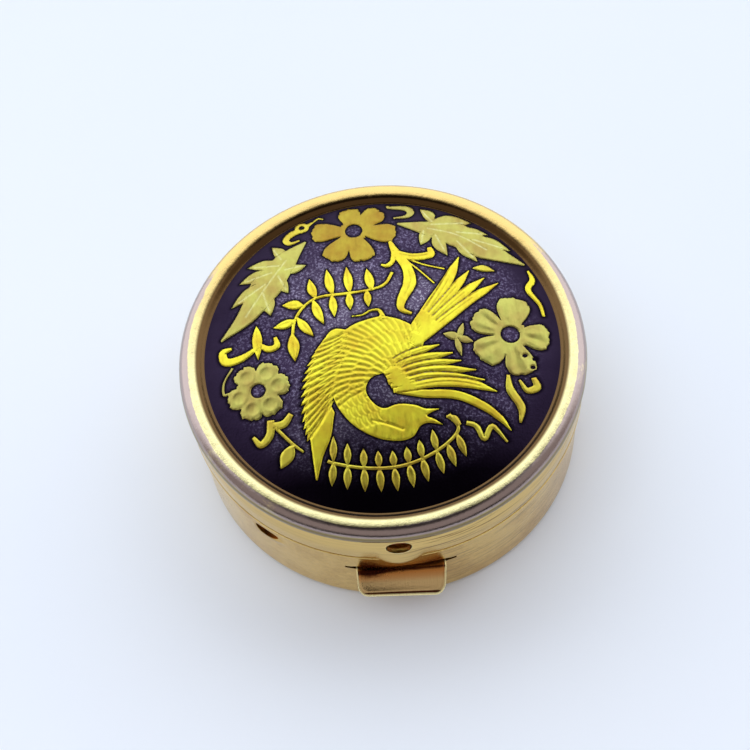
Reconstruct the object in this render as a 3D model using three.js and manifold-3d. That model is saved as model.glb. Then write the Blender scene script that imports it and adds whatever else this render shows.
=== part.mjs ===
// Hinged round pill box: a drawn brass cup and lid, gilt, with a blackened steel disc let
// into the lid and gold foil inlays (a long-tailed bird among flowers and ferns) on the disc.
// Millimetres, +Z up. The origin is the middle of the flat underside. The thumb latch is at
// the front (-Y) and the hinge at the back (+Y). The lid is closed.

import * as THREE from 'three';
import { mergeVertices } from 'three/addons/utils/BufferGeometryUtils.js';
import Module from 'manifold-3d';

const wasm = await Module();
wasm.setup();

// ---------------------------------------------------------------- driving dimensions (mm)

const ROUND = 60;              // facets round the case
const SHEET = 0.4;             // brass sheet of the lid
const GAP = 0.05;              // between pieces that bear on each other

const WALL_R = 19.6;           // outside of the base wall
const WALL = 0.45;             // thickness of the base wall
const FLOOR = 0.5;             // thickness of the base floor
const CORNER_R = 1;            // round between the floor and the wall
const PARTING_Z = 10.5;        // lower edge of the lid, upper edge of the base
const LIP_R = 19.85;           // outside of the rolled lip at the top of the base
const LIP_H = 0.5;

const COLLAR_R = 19.1;         // outside of the ring that centres the lid
const COLLAR_T = 0.35;
const COLLAR_BOTTOM = 9.2;
const COLLAR_TOP = 12;

const BEAD_R = 20;             // outside of the bead round the lid
const BEAD_Z = 14.8;           // height of the bead's widest point
const BEAD_TOP = 15.95;
const BEAD_HALF = 1.1;         // half the width of the bead's section
const NECK_R = 19.5;           // skirt just below the bead
const NECK_Z = 13.85;
const SKIRT_R = 19.82;         // skirt at its lower edge
const SEAT_R = 17.4;           // inner edge of the bezel, over the disc
const SEAT_Z = 15.49;

const DISC_R = 17.8;
const DISC_T = 0.5;
const DOME_R = 82.8;           // radius of the disc's sphere
const DOME_TOP = 17.3;
const DOME_RINGS = 5;          // facets of the dome from the middle to the edge

const PAN_R = 18.95;           // the inner pan that holds the disc up against the bezel
const PAN_T = 0.3;
const PAN_BOTTOM = 12.95;

const HINGE = { y: 20.7, z: 10.6 };
const BARREL_R = 1;
const PIN_R = 0.5;
const BORE_R = 0.54;
const KNUCKLE_HALF = 5.4;      // half the length of the three knuckles together
const MIDDLE_HALF = 1.8;       // half the length of the middle knuckle
const HEEL_REACH = 1.45;       // the middle knuckle's stop lug, from the pin's axis
const HEEL_ANGLE = -22;        // its direction in degrees from +Y, lid closed

const SLIT = { z: 7.05, height: 0.6, half: 5.4 };
const STRIP = { half: 2.5, y: -18.6, t: 0.35, bottom: 1.4, top: 12.75 };
const TAB = { root: 4.35, front: 4.25, tip: 22, corner: 1.1, t: 0.36, bend: 19.65, slope: 0.45 };
const NIB = { half: 0.9, low: 12, high: 12.7, tip: 19.12 };

const TONGUE = { half: 2.3, tip: 9.55, lipR: 20.15 };
const CATCH = { z: 12.5, halfWidth: 1.25, halfHeight: 0.85 };
const LANCE = { azimuth: -40.2, z: 8.4, halfLength: 1.35, halfHeight: 0.38, lip: 0.28 };

const INLAY_GAP = 0.03;        // under the foil
const INLAY_T = 0.12;          // thickness of the foil
const PATTERN_TURN = 1.1;      // degrees the pattern is turned from the latch

const GILT = { color: 0xcfae6a, roughness: 0.3, metalness: 1 };
const SPRING = { color: 0xb98d4a, roughness: 0.35, metalness: 1 };
const BLACK = { color: 0x322a3c, roughness: 0.6, metalness: 0.6 };
const BRIGHT = { color: 0xd8d03c, roughness: 0.35, metalness: 1 };
const PALE = { color: 0xb4b464, roughness: 0.35, metalness: 1 };
const WARM = { color: 0xbeaa46, roughness: 0.35, metalness: 1 };

const box = new THREE.Group();

// ------------------------------------------------------------------------ solids and cuts

const toRad = THREE.MathUtils.degToRad;

function toSolid(geometry) {
  const plain = geometry.index ? geometry.toNonIndexed() : geometry.clone();
  plain.deleteAttribute('normal');
  plain.deleteAttribute('uv');
  const merged = mergeVertices(plain, 1e-5);
  return new wasm.Manifold(new wasm.Mesh({
    numProp: 3,
    vertProperties: new Float32Array(merged.attributes.position.array),
    triVerts: new Uint32Array(merged.index.array),
  }));
}

function toGeometry(solid) {
  const mesh = solid.getMesh();
  const geometry = new THREE.BufferGeometry();
  geometry.setAttribute('position', new THREE.BufferAttribute(new Float32Array(mesh.vertProperties), 3));
  geometry.setIndex(new THREE.BufferAttribute(new Uint32Array(mesh.triVerts), 1));
  return geometry;
}

// A piece turned about +Z from points [radius, height], first and last on the axis or joined.
function turned(points, segments = ROUND) {
  const profile = points.map(([radius, height]) => new THREE.Vector2(radius, height));
  return new THREE.LatheGeometry(profile, segments).rotateX(Math.PI / 2);
}

// A flat outline in X and Z, made solid between two Y values.
function slabXZ(points, yLow, yHigh) {
  const shape = new THREE.Shape(points.map(([x, z]) => new THREE.Vector2(x, z)));
  const geometry = new THREE.ExtrudeGeometry(shape, { depth: yHigh - yLow, bevelEnabled: false });
  return geometry.rotateX(Math.PI / 2).translate(0, yHigh, 0);
}

// A flat outline in Y and Z, made solid between two X values.
function slabYZ(points, xLow, xHigh) {
  const shape = new THREE.Shape(points.map(([y, z]) => new THREE.Vector2(y, z)));
  const geometry = new THREE.ExtrudeGeometry(shape, { depth: xHigh - xLow, bevelEnabled: false });
  return geometry.rotateX(Math.PI / 2).rotateZ(Math.PI / 2).translate(xLow, 0, 0);
}

function boxBetween([x0, y0, z0], [x1, y1, z1]) {
  const geometry = new THREE.BoxGeometry(x1 - x0, y1 - y0, z1 - z0);
  return geometry.translate((x0 + x1) / 2, (y0 + y1) / 2, (z0 + z1) / 2);
}

// A round bar along X on the hinge axis.
function hingeBar(radius, xLow, xHigh, segments = 20) {
  const bar = new THREE.CylinderGeometry(radius, radius, xHigh - xLow, segments);
  return bar.rotateZ(Math.PI / 2).translate((xLow + xHigh) / 2, HINGE.y, HINGE.z);
}

function add(name, geometry, look) {
  const mesh = new THREE.Mesh(geometry, new THREE.MeshStandardMaterial(look));
  mesh.name = name;
  box.add(mesh);
}

function ellipse(cx, cy, a, b, count = 20) {
  return Array.from({ length: count }, (_, i) => {
    const turn = (i / count) * 2 * Math.PI;
    return [cx + a * Math.cos(turn), cy + b * Math.sin(turn)];
  });
}

// Points on an arc of an ellipse, both ends included, angles in degrees.
function arc(cx, cy, a, b, from, to, steps) {
  return Array.from({ length: steps + 1 }, (_, i) => {
    const turn = toRad(from + ((to - from) * i) / steps);
    return [cx + a * Math.cos(turn), cy + b * Math.sin(turn)];
  });
}

function domeHeight(radius) {
  return DOME_TOP - DOME_R + Math.sqrt(DOME_R ** 2 - radius ** 2);
}

// ------------------------------------------------------------------------------- the base

const hingeClearance = toSolid(hingeBar(BARREL_R + 0.08, -KNUCKLE_HALF - 0.2, KNUCKLE_HALF + 0.2));

// The outside of the base, grown by a margin, without its hollow.
function baseOutline(margin) {
  return [
    [0, 0],
    [WALL_R - CORNER_R, 0],
    ...arc(WALL_R - CORNER_R, CORNER_R, CORNER_R + margin, CORNER_R + margin, -60, 0, 3),
    [WALL_R + margin, PARTING_Z - LIP_H - 0.15 - margin],
    [LIP_R + margin, PARTING_Z - LIP_H - margin],
    [LIP_R + margin, PARTING_Z - 0.15],
    [LIP_R - 0.1 + margin, PARTING_Z - GAP],
  ];
}

function baseCup() {
  const inside = WALL_R - WALL;
  const cup = toSolid(turned([
    ...baseOutline(0),
    [inside, PARTING_Z - GAP],
    ...arc(inside - CORNER_R / 2, FLOOR + CORNER_R / 2, CORNER_R / 2, CORNER_R / 2, 0, -90, 3),
    [0, FLOOR],
  ]));
  const slit = toSolid(boxBetween(
    [-SLIT.half, -WALL_R - 1, SLIT.z - SLIT.height / 2],
    [SLIT.half, -WALL_R + 1.5, SLIT.z + SLIT.height / 2],
  ));
  const lance = lancedLip();
  const hole = lancedHole();
  return toGeometry(cup.add(lance).subtract(hole).subtract(slit).subtract(hingeClearance));
}

// Both lance shapes are made at the front and turned round to their azimuth.
function lancedHole() {
  const outline = ellipse(0, LANCE.z, LANCE.halfLength, LANCE.halfHeight, 12);
  return toSolid(slabXZ(outline, -WALL_R - 1, -WALL_R + 1).rotateZ(toRad(LANCE.azimuth)));
}

function lancedLip() {
  const inner = -WALL_R + WALL / 2;
  const outer = -WALL_R - LANCE.lip;
  const lip = slabYZ([
    [inner, LANCE.z - 0.2],
    [outer, LANCE.z - 0.3],
    [outer, LANCE.z - 0.5],
    [inner, LANCE.z - 1.1],
  ], -LANCE.halfLength * 0.8, LANCE.halfLength * 0.8);
  return toSolid(lip.rotateZ(toRad(LANCE.azimuth)));
}

function baseCollar() {
  const ring = toSolid(turned([
    [COLLAR_R - COLLAR_T, COLLAR_BOTTOM],
    [COLLAR_R, COLLAR_BOTTOM],
    [COLLAR_R, COLLAR_TOP - 0.25],
    [COLLAR_R - COLLAR_T / 2, COLLAR_TOP],
    [COLLAR_R - COLLAR_T, COLLAR_TOP - 0.25],
    [COLLAR_R - COLLAR_T, COLLAR_BOTTOM],
  ]));
  const latchGap = toSolid(boxBetween(
    [-STRIP.half - 0.7, -BEAD_R, COLLAR_BOTTOM - 1],
    [STRIP.half + 0.7, -BEAD_R + 4, COLLAR_TOP + 1],
  ));
  return toGeometry(ring.subtract(latchGap));
}

// -------------------------------------------------------------------------------- the hinge

function knuckle(xLow, xHigh, leafLow, leafHigh, envelope) {
  const leaf = boxBetween([xLow, WALL_R - 1.2, leafLow], [xHigh, HINGE.y - 0.45, leafHigh]);
  return toSolid(hingeBar(BARREL_R, xLow, xHigh))
    .add(toSolid(leaf).subtract(envelope))
    .subtract(toSolid(hingeBar(BORE_R, xLow - 1, xHigh + 1)));
}

function baseKnuckle(side) {
  const near = MIDDLE_HALF + 0.1;
  const xLow = side < 0 ? -KNUCKLE_HALF : near;
  const xHigh = side < 0 ? -near : KNUCKLE_HALF;
  const cup = toSolid(turned([...baseOutline(0.04), [0, PARTING_Z - GAP]]));
  const lidRoom = toSolid(boxBetween([xLow - 1, 0, PARTING_Z - GAP], [xHigh + 1, WALL_R + 0.1, 20]));
  return toGeometry(knuckle(xLow, xHigh, HINGE.z - 3.2, HINGE.z, cup.add(lidRoom)));
}

function lidKnuckle() {
  const skirt = toSolid(turned([
    [0, PARTING_Z],
    [SKIRT_R + 0.04, PARTING_Z],
    [NECK_R + 0.04, NECK_Z],
    [NECK_R + 0.04, NECK_Z + 1],
    [0, NECK_Z + 1],
  ]));
  const baseRoom = toSolid(boxBetween([-BEAD_R, 0, 0], [BEAD_R, LIP_R + 0.3, PARTING_Z]));
  const heel = boxBetween([-MIDDLE_HALF, 0, -0.25], [MIDDLE_HALF, HEEL_REACH, 0.25]);
  heel.rotateX(toRad(HEEL_ANGLE)).translate(0, HINGE.y, HINGE.z);
  const bore = toSolid(hingeBar(BORE_R, -MIDDLE_HALF - 1, MIDDLE_HALF + 1));
  const body = knuckle(-MIDDLE_HALF, MIDDLE_HALF, HINGE.z, HINGE.z + 2.9, skirt.add(baseRoom));
  return toGeometry(body.add(toSolid(heel)).subtract(bore));
}

// --------------------------------------------------------------------------- the thumb latch

function thumbTab() {
  const rootY = -STRIP.y - STRIP.t / 2;
  const cornerY = TAB.tip - TAB.corner;
  const side = [[TAB.root, rootY], [TAB.root, TAB.bend], [TAB.front, cornerY]];
  const front = arc(TAB.front - TAB.corner, cornerY, TAB.corner, TAB.corner, 0, 90, 4).slice(1);
  const half = [...side, ...front];
  const mirror = half.map(([x, y]) => [-x, y]).reverse();
  const plan = [...half, ...mirror].map(([x, y]) => new THREE.Vector2(x, -y)).reverse();
  const tab = new THREE.ExtrudeGeometry(new THREE.Shape(plan), { depth: TAB.t, bevelEnabled: false });
  const cut = toSolid(tab.translate(0, 0, -TAB.t / 2));
  const outer = toSolid(boxBetween([-6, -TAB.tip - 1, -1], [6, -TAB.bend, 1]));
  const bent = toGeometry(cut.intersect(outer));
  const position = bent.attributes.position;
  for (let i = 0; i < position.count; i += 1) {
    const past = -TAB.bend - position.getY(i);
    position.setZ(i, position.getZ(i) - TAB.slope * past);
  }
  const flat = cut.intersect(toSolid(boxBetween([-6, -TAB.bend, -1], [6, 0, 1])));
  return flat.add(toSolid(bent)).translate(0, 0, SLIT.z);
}

function thumbLatch() {
  const strip = boxBetween(
    [-STRIP.half, STRIP.y, STRIP.bottom],
    [STRIP.half, STRIP.y + STRIP.t, STRIP.top],
  );
  const nib = slabYZ([
    [STRIP.y + 0.1, NIB.low],
    [STRIP.y + 0.1, NIB.high],
    [STRIP.y, NIB.high],
    [-NIB.tip, NIB.low + 0.3],
    [-NIB.tip, NIB.low],
  ], -NIB.half, NIB.half);
  return toGeometry(toSolid(strip).add(toSolid(nib)).add(thumbTab()));
}

// The part of the spring strip that is soldered to the floor.
function latchFoot() {
  const low = FLOOR + GAP;
  return slabYZ([
    [STRIP.y, low],
    [STRIP.y + 4, low],
    [STRIP.y + 4, low + STRIP.t],
    [STRIP.y + STRIP.t, low + STRIP.t],
    [STRIP.y + STRIP.t, STRIP.bottom - GAP],
    [STRIP.y, STRIP.bottom - GAP],
  ], -STRIP.half, STRIP.half);
}

// ---------------------------------------------------------------------------------- the lid

function bezelProfile() {
  const centre = BEAD_R - BEAD_HALF;
  const rise = BEAD_TOP - BEAD_Z;
  return [
    [SKIRT_R, PARTING_Z],
    [SKIRT_R - 0.02, PARTING_Z + 0.4],
    [NECK_R, NECK_Z],
    ...arc(centre, BEAD_Z, BEAD_HALF, rise, -50, 110, 7),
    [SEAT_R + 0.6, SEAT_Z + 0.3],
    [SEAT_R + 0.25, SEAT_Z + 0.15],
    [SEAT_R, SEAT_Z + 0.1],
    [SEAT_R, SEAT_Z],
    [SEAT_R + 0.55, SEAT_Z - 0.08],
    ...arc(centre, BEAD_Z, BEAD_HALF - SHEET, rise - SHEET, 110, -50, 4),
    [NECK_R - SHEET, NECK_Z],
    [SKIRT_R - SHEET, PARTING_Z],
    [SKIRT_R, PARTING_Z],
  ];
}

// The scalloped tongue at the front of the skirt, flared over the base's lip.
function tongue() {
  const flare = toSolid(turned([
    [SKIRT_R - 0.2, 12.2],
    [LIP_R + GAP, PARTING_Z],
    [LIP_R + GAP, TONGUE.tip],
    [TONGUE.lipR, TONGUE.tip],
    [TONGUE.lipR - 0.05, PARTING_Z],
    [SKIRT_R - 0.12, 12.6],
    [SKIRT_R - 0.2, 12.2],
  ]));
  const edge = Array.from({ length: 13 }, (_, i) => {
    const across = -1 + i / 6;
    const drop = (PARTING_Z - TONGUE.tip) * Math.cos((across * Math.PI) / 2) ** 0.8;
    return [across * TONGUE.half, PARTING_Z - Math.max(drop, 0)];
  });
  const outline = [...edge, [TONGUE.half + 0.4, 12.5], [-TONGUE.half - 0.4, 12.5]];
  return flare.intersect(toSolid(slabXZ(outline, -BEAD_R - 1, -BEAD_R + 3)));
}

function lidBezel() {
  const hole = ellipse(0, CATCH.z, CATCH.halfWidth, CATCH.halfHeight, 16);
  const shell = toSolid(turned(bezelProfile())).add(tongue());
  const catchHole = toSolid(slabXZ(hole, -BEAD_R - 1, -BEAD_R + 2));
  return toGeometry(shell.subtract(catchHole).subtract(hingeClearance));
}

function domeRings(count, offset, edge) {
  return Array.from({ length: count + 1 }, (_, i) => {
    const radius = (edge * i) / count;
    return [radius, domeHeight(radius) + offset];
  });
}

function steelDisc() {
  const upper = domeRings(DOME_RINGS, 0, DISC_R).reverse();
  return turned([...domeRings(3, -DISC_T, DISC_R), ...upper]);
}

function lidPan() {
  const under = -DISC_T - GAP;
  const knee = PAN_R - 0.3;
  const rim = PAN_R - PAN_T;
  return turned([
    ...domeRings(3, under - PAN_T, DISC_R - 0.5),
    [rim, 13.9],
    [rim, PAN_BOTTOM],
    [PAN_R, PAN_BOTTOM],
    [PAN_R, 13.9],
    [knee, 14.25],
    ...domeRings(3, under, DISC_R).reverse(),
  ]);
}

// -------------------------------------------------------------- outlines of the gold inlays

// A pointed leaf from [x0, y0] to [x1, y1].
function blade([x0, y0], [x1, y1], width, steps = 4) {
  const length = Math.hypot(x1 - x0, y1 - y0);
  const along = [(x1 - x0) / length, (y1 - y0) / length];
  const side = (sign) => Array.from({ length: steps - 1 }, (_, i) => {
    const t = (i + 1) / steps;
    const out = sign * 0.5 * width * Math.sin(Math.PI * t ** 0.9);
    return [x0 + along[0] * length * t - along[1] * out, y0 + along[1] * length * t + along[0] * out];
  });
  return [[x0, y0], ...side(-1), [x1, y1], ...side(1).reverse()];
}

// A ribbon along a smooth curve, with its width given at each point of the curve.
function ribbon(points, widths, steps = 4) {
  const curve = new THREE.CatmullRomCurve3(
    points.map(([x, y]) => new THREE.Vector3(x, y, 0)), false, 'centripetal');
  const count = steps * (points.length - 1);
  const sides = [[], []];
  for (let i = 0; i <= count; i += 1) {
    const t = i / count;
    const slot = Math.min(Math.floor(t * (widths.length - 1)), widths.length - 2);
    const part = t * (widths.length - 1) - slot;
    const half = 0.5 * (widths[slot] * (1 - part) + widths[slot + 1] * part);
    const at = curve.getPoint(t);
    const along = curve.getTangent(t);
    sides[0].push([at.x + along.y * half, at.y - along.x * half]);
    sides[1].push([at.x - along.y * half, at.y + along.x * half]);
  }
  return [...sides[0], ...sides[1].reverse()];
}

// A flower's outline: each petal is [direction in degrees, length, half its angle in degrees].
function flowerOutline([cx, cy], waist, petals, count = 48) {
  return Array.from({ length: count }, (_, i) => {
    const turn = (i / count) * 360;
    const reach = petals.map(([direction, length, half]) => {
      const off = Math.abs(((turn - direction + 540) % 360) - 180) / half;
      return off < 1 ? length * (1 - off ** 4) ** 0.42 : 0;
    });
    const radius = Math.max(waist, ...reach);
    return [cx + radius * Math.cos(toRad(turn)), cy + radius * Math.sin(toRad(turn))];
  });
}

const foilSheet = toSolid(turned([
  ...domeRings(DOME_RINGS, INLAY_GAP, DISC_R),
  ...domeRings(DOME_RINGS, INLAY_GAP + INLAY_T, DISC_R).reverse(),
]));

// The foil of one motif: its outlines joined, its holes cut, shaped to the dome.
function foil(outlines, holes = []) {
  const prism = (points) => {
    const ring = points.map(([x, y]) => new THREE.Vector2(x, y));
    const shape = new THREE.Shape(THREE.ShapeUtils.isClockWise(ring) ? ring.reverse() : ring);
    const geometry = new THREE.ExtrudeGeometry(shape, { depth: DOME_TOP, bevelEnabled: false });
    geometry.translate(0, 0, BEAD_Z / 2).rotateZ(toRad(PATTERN_TURN));
    return toSolid(geometry);
  };
  let flat = prism(outlines[0]);
  for (const outline of outlines.slice(1)) {
    flat = flat.add(prism(outline));
  }
  for (const hole of holes) {
    flat = flat.subtract(prism(hole));
  }
  return toGeometry(foilSheet.intersect(flat));
}

function addFlowers() {
  const top = [[97, 3.2, 33], [41, 3.8, 29], [-13, 4.3, 27], [-79, 4.2, 27], [-128, 4.4, 26],
    [174, 4.3, 27]];
  const right = [[77, 4.3, 35], [146, 4, 34], [217, 4.1, 36], [-80, 4.5, 30], [-8, 3.8, 36]];
  const left = [8, 63, 123, 192, 250, 303].map((turn) => [turn, 3.05, 34]);
  const flower = (name, at, waist, petals, eye, look, pricks = []) => {
    const holes = [ellipse(...at, eye, eye, 12), ...pricks.map((prick) => ellipse(...prick, 0.26, 0.2, 6))];
    add(name, foil([flowerOutline(at, waist, petals)], holes), look);
  };
  flower('inlay_flower_top', [-1.5, 13.9], 1.5, top, 0.9, WARM);
  flower('inlay_flower_right', [12.6, -0.4], 1.7, right, 0.95, PALE,
    [[13.7, -2.8], [14.6, -3.2], [14.3, -4.1]]);
  flower('inlay_flower_left', [-12.2, -3.6], 2.2, left, 0.75, PALE);
}

// A serrated leaf: a broad rib, and blades that leave it as [from, to, width].
function addLeaves() {
  const leftRib = ribbon([[-6.5, 13.3], [-8.6, 11.2], [-10.8, 8.2], [-13, 5], [-15.6, 2.7]],
    [0.2, 2.4, 3.4, 2, 0.2], 3);
  const leftBlades = [
    [[-9, 11.2], [-10, 13.3], 1.2], [[-9, 10.6], [-12.6, 11.1], 1.3],
    [[-9.8, 10], [-13.5, 9.2], 1.4], [[-10.5, 8.8], [-14.4, 6.4], 1.4],
    [[-9, 10], [-6.6, 10.2], 1.1], [[-9.6, 9.6], [-8.6, 7], 1.3],
    [[-11.2, 7.8], [-10.5, 4.6], 1.5],
  ];
  const rightRib = ribbon([[3, 14.3], [6, 13.3], [8.8, 12.2], [11.6, 10], [15.2, 7.9]],
    [0.2, 2, 3.2, 2.6, 0.2], 3);
  const rightBlades = [
    [[6.6, 14], [5.5, 16.1], 1.2], [[6, 13.8], [10.5, 13.7], 2],
    [[8.5, 12.6], [12, 12], 1.2], [[10, 11.6], [14, 9.8], 1.6],
    [[5.6, 13.2], [5.1, 11.1], 1.2], [[6.6, 12.6], [7.6, 9.5], 1.3],
    [[8.6, 11.6], [10.5, 8.5], 1.2],
  ];
  const leaf = (rib, blades) => foil([rib, ...blades.map((part) => blade(...part))]);
  add('inlay_leaf_left', leaf(leftRib, leftBlades), PALE);
  add('inlay_leaf_right', leaf(rightRib, rightBlades), PALE);
}

function addFerns() {
  const upperStem = [[1.9, 7.9], [1, 6.5], [-0.6, 6], [-3, 5.9], [-5.6, 5.9], [-7.2, 5], [-8.2, 3.4],
    [-8.5, 1.6]];
  const upperLeaves = [
    [[-0.3, 5.9], [-0.6, 8.7], 0.95], [[-2.5, 5.9], [-2.6, 9.2], 0.95],
    [[-4.2, 5.9], [-4.6, 9.2], 0.95], [[-5.9, 5.8], [-6.4, 8.3], 0.95],
    [[-0.8, 6], [-0.8, 4], 0.8], [[-2.6, 6], [-2.6, 3.9], 0.8], [[-4.3, 6], [-4.2, 3.3], 0.85],
    [[-6.2, 5.7], [-5.3, 2.6], 0.9], [[-7.1, 5.1], [-9.3, 5.6], 1.1], [[-8, 3.6], [-10.3, 3.1], 1],
    [[-7.9, 3.9], [-6.4, 1.4], 0.9], [[-8.5, 2.1], [-8.4, -1.1], 1.15],
  ];
  const lowerStem = [[-6.1, -11.8], [-5.6, -12.1], [-3, -12.9], [0, -13.2], [2.6, -12.7],
    [5, -11.5], [6.4, -10], [5.7, -8.5]];
  const lowerAbove = [[-5.6, -12], [-4.3, -12.5], [-2.8, -12.9], [-1.4, -13.1], [0, -13.2],
    [1.4, -13], [2.7, -12.6], [4.1, -12]];
  const lowerBelow = [...lowerAbove, [5.2, -11.4], [6.2, -10.5]];
  const stem = (points, width) => ribbon(points, [width, width], 2);
  const above = lowerAbove.map(([x, y]) => blade([x, y], [x * 0.96, y + 1.6 + 0.03 * x * x], 0.75));
  const below = lowerBelow.map(([x, y]) => blade([x, y], [x * 1.08 + 0.1, y - 2.3], 0.75));
  const upper = upperLeaves.map((part) => blade(...part));
  const curl = ribbon([[6.5, -9.7], [6.1, -9], [5.4, -8.7]], [0.5, 0.7, 0.2], 3);
  add('inlay_fern_upper', foil([stem(upperStem, 0.32), ...upper]), BRIGHT);
  add('inlay_fern_lower', foil([stem(lowerStem, 0.32), curl, ...above, ...below]), WARM);
}

// The point at a share t of the way along a chain of points.
function pointAlong(points, t) {
  const at = t * (points.length - 1);
  const low = Math.min(Math.floor(at), points.length - 2);
  return points[low].map((value, k) => value + (points[low + 1][k] - value) * (at - low));
}

// The wing on the left: feathers side by side, and a long one that hangs down.
function leftWing() {
  const roots = [[-3.5, 1.4], [-3.8, 0.2], [-4.3, -1.6], [-4.8, -3.4], [-5.3, -5], [-5.6, -6.6]];
  const tips = [[-5.4, 0.8], [-6.8, -0.9], [-7.8, -3.1], [-8.2, -5.4], [-8.2, -7.8], [-7.9, -9.6]];
  const feathers = Array.from({ length: 10 }, (_, i) => {
    const root = pointAlong(roots, i / 9);
    const tip = pointAlong(tips, i / 9);
    return blade(root.map((value, k) => 1.25 * value - 0.25 * tip[k]), tip, 1.6);
  });
  const drop = [[-6.4, -5], [-6.5, -7], [-6.6, -9.2], [-7, -11.2], [-7.3, -13.5]];
  return [...feathers, ribbon(drop, [1, 2.9, 2.1, 1, 0.15], 3)];
}

// The wing on the right and the tail: each feather is a curved ribbon of its own.
function rightFeathers() {
  const wing = [
    [[0, -3.2], [2.2, -2], [5.6, -1.1]], [[0, -3.7], [2.8, -2.6], [6.8, -2.1]],
    [[0.2, -4.2], [3.4, -3.2], [7.5, -3]], [[0.3, -4.7], [4, -3.8], [8.8, -4.1]],
    [[0.5, -5.1], [4.4, -4.4], [9.5, -5.2]], [[0.7, -5.6], [5, -5.1], [8, -5.5], [10.5, -6.5]],
    [[1, -5.7], [3.6, -6.2], [6.6, -6.6], [9, -7.9], [10.5, -9.3], [11.3, -10.5]],
  ];
  const tail = [
    [[2.6, -0.2], [5.2, 3.2], [7.3, 6.4], [8.7, 9.2]],
    [[2.8, -0.4], [5.6, 2.8], [7.9, 5.4], [9.5, 7.4]],
    [[3, -0.6], [6, 2.3], [8.7, 4.7], [10.9, 6.4]],
    [[3.1, -0.9], [6.3, 1.7], [9.4, 4], [12.2, 5.7]],
  ];
  return [
    ...wing.map((path) => ribbon(path, [0.5, 0.8, 1, 0.95, 0.7, 0.1], 3)),
    ...tail.map((path) => ribbon(path, [1, 1.2, 1.25, 1.05, 0.8, 0.1], 3)),
  ];
}

function addBird() {
  const back = [[3.9, -1.4], [4.2, 0], [3.2, 1.3], [1.9, 2.2], [0.4, 2.7], [-1.2, 2.5], [-2.7, 2],
    [-4, 1], [-4.8, -0.4], [-5.4, -2.2], [-5.5, -3.6], [-5.2, -4.8], [-4.6, -6.8], [-3.9, -7.9],
    [-3.2, -8.8], [-2.2, -9.6], [-1.2, -10.2], [0.8, -10.7], [2.1, -10.4], [2.8, -9.5], [3.6, -9.2]];
  const beak = [[5, -9.5], [4.3, -8.9], [3.6, -8.5], [4, -8.2], [4.8, -7.9], [3.6, -7.75]];
  const breast = [[2.6, -7.3], [1, -7], [-0.4, -7.3], [-1.4, -6.5], [-1.9, -5.2], [-1.3, -4],
    [0, -3.6], [1.2, -3.4], [3, -2.4], [3.7, -1.7]];
  const crest = ribbon([[-2.5, 3.1], [-1.5, 3.1], [-0.7, 3.5], [0.1, 3.5], [0.4, 3], [0.4, 2.3]],
    [0.12, 0.18, 0.22, 0.3, 0.4, 0.8], 2);
  const body = [...back, ...beak, ...breast];
  add('inlay_bird', foil([body, crest, ...leftWing(), ...rightFeathers()]), BRIGHT);
}

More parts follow.
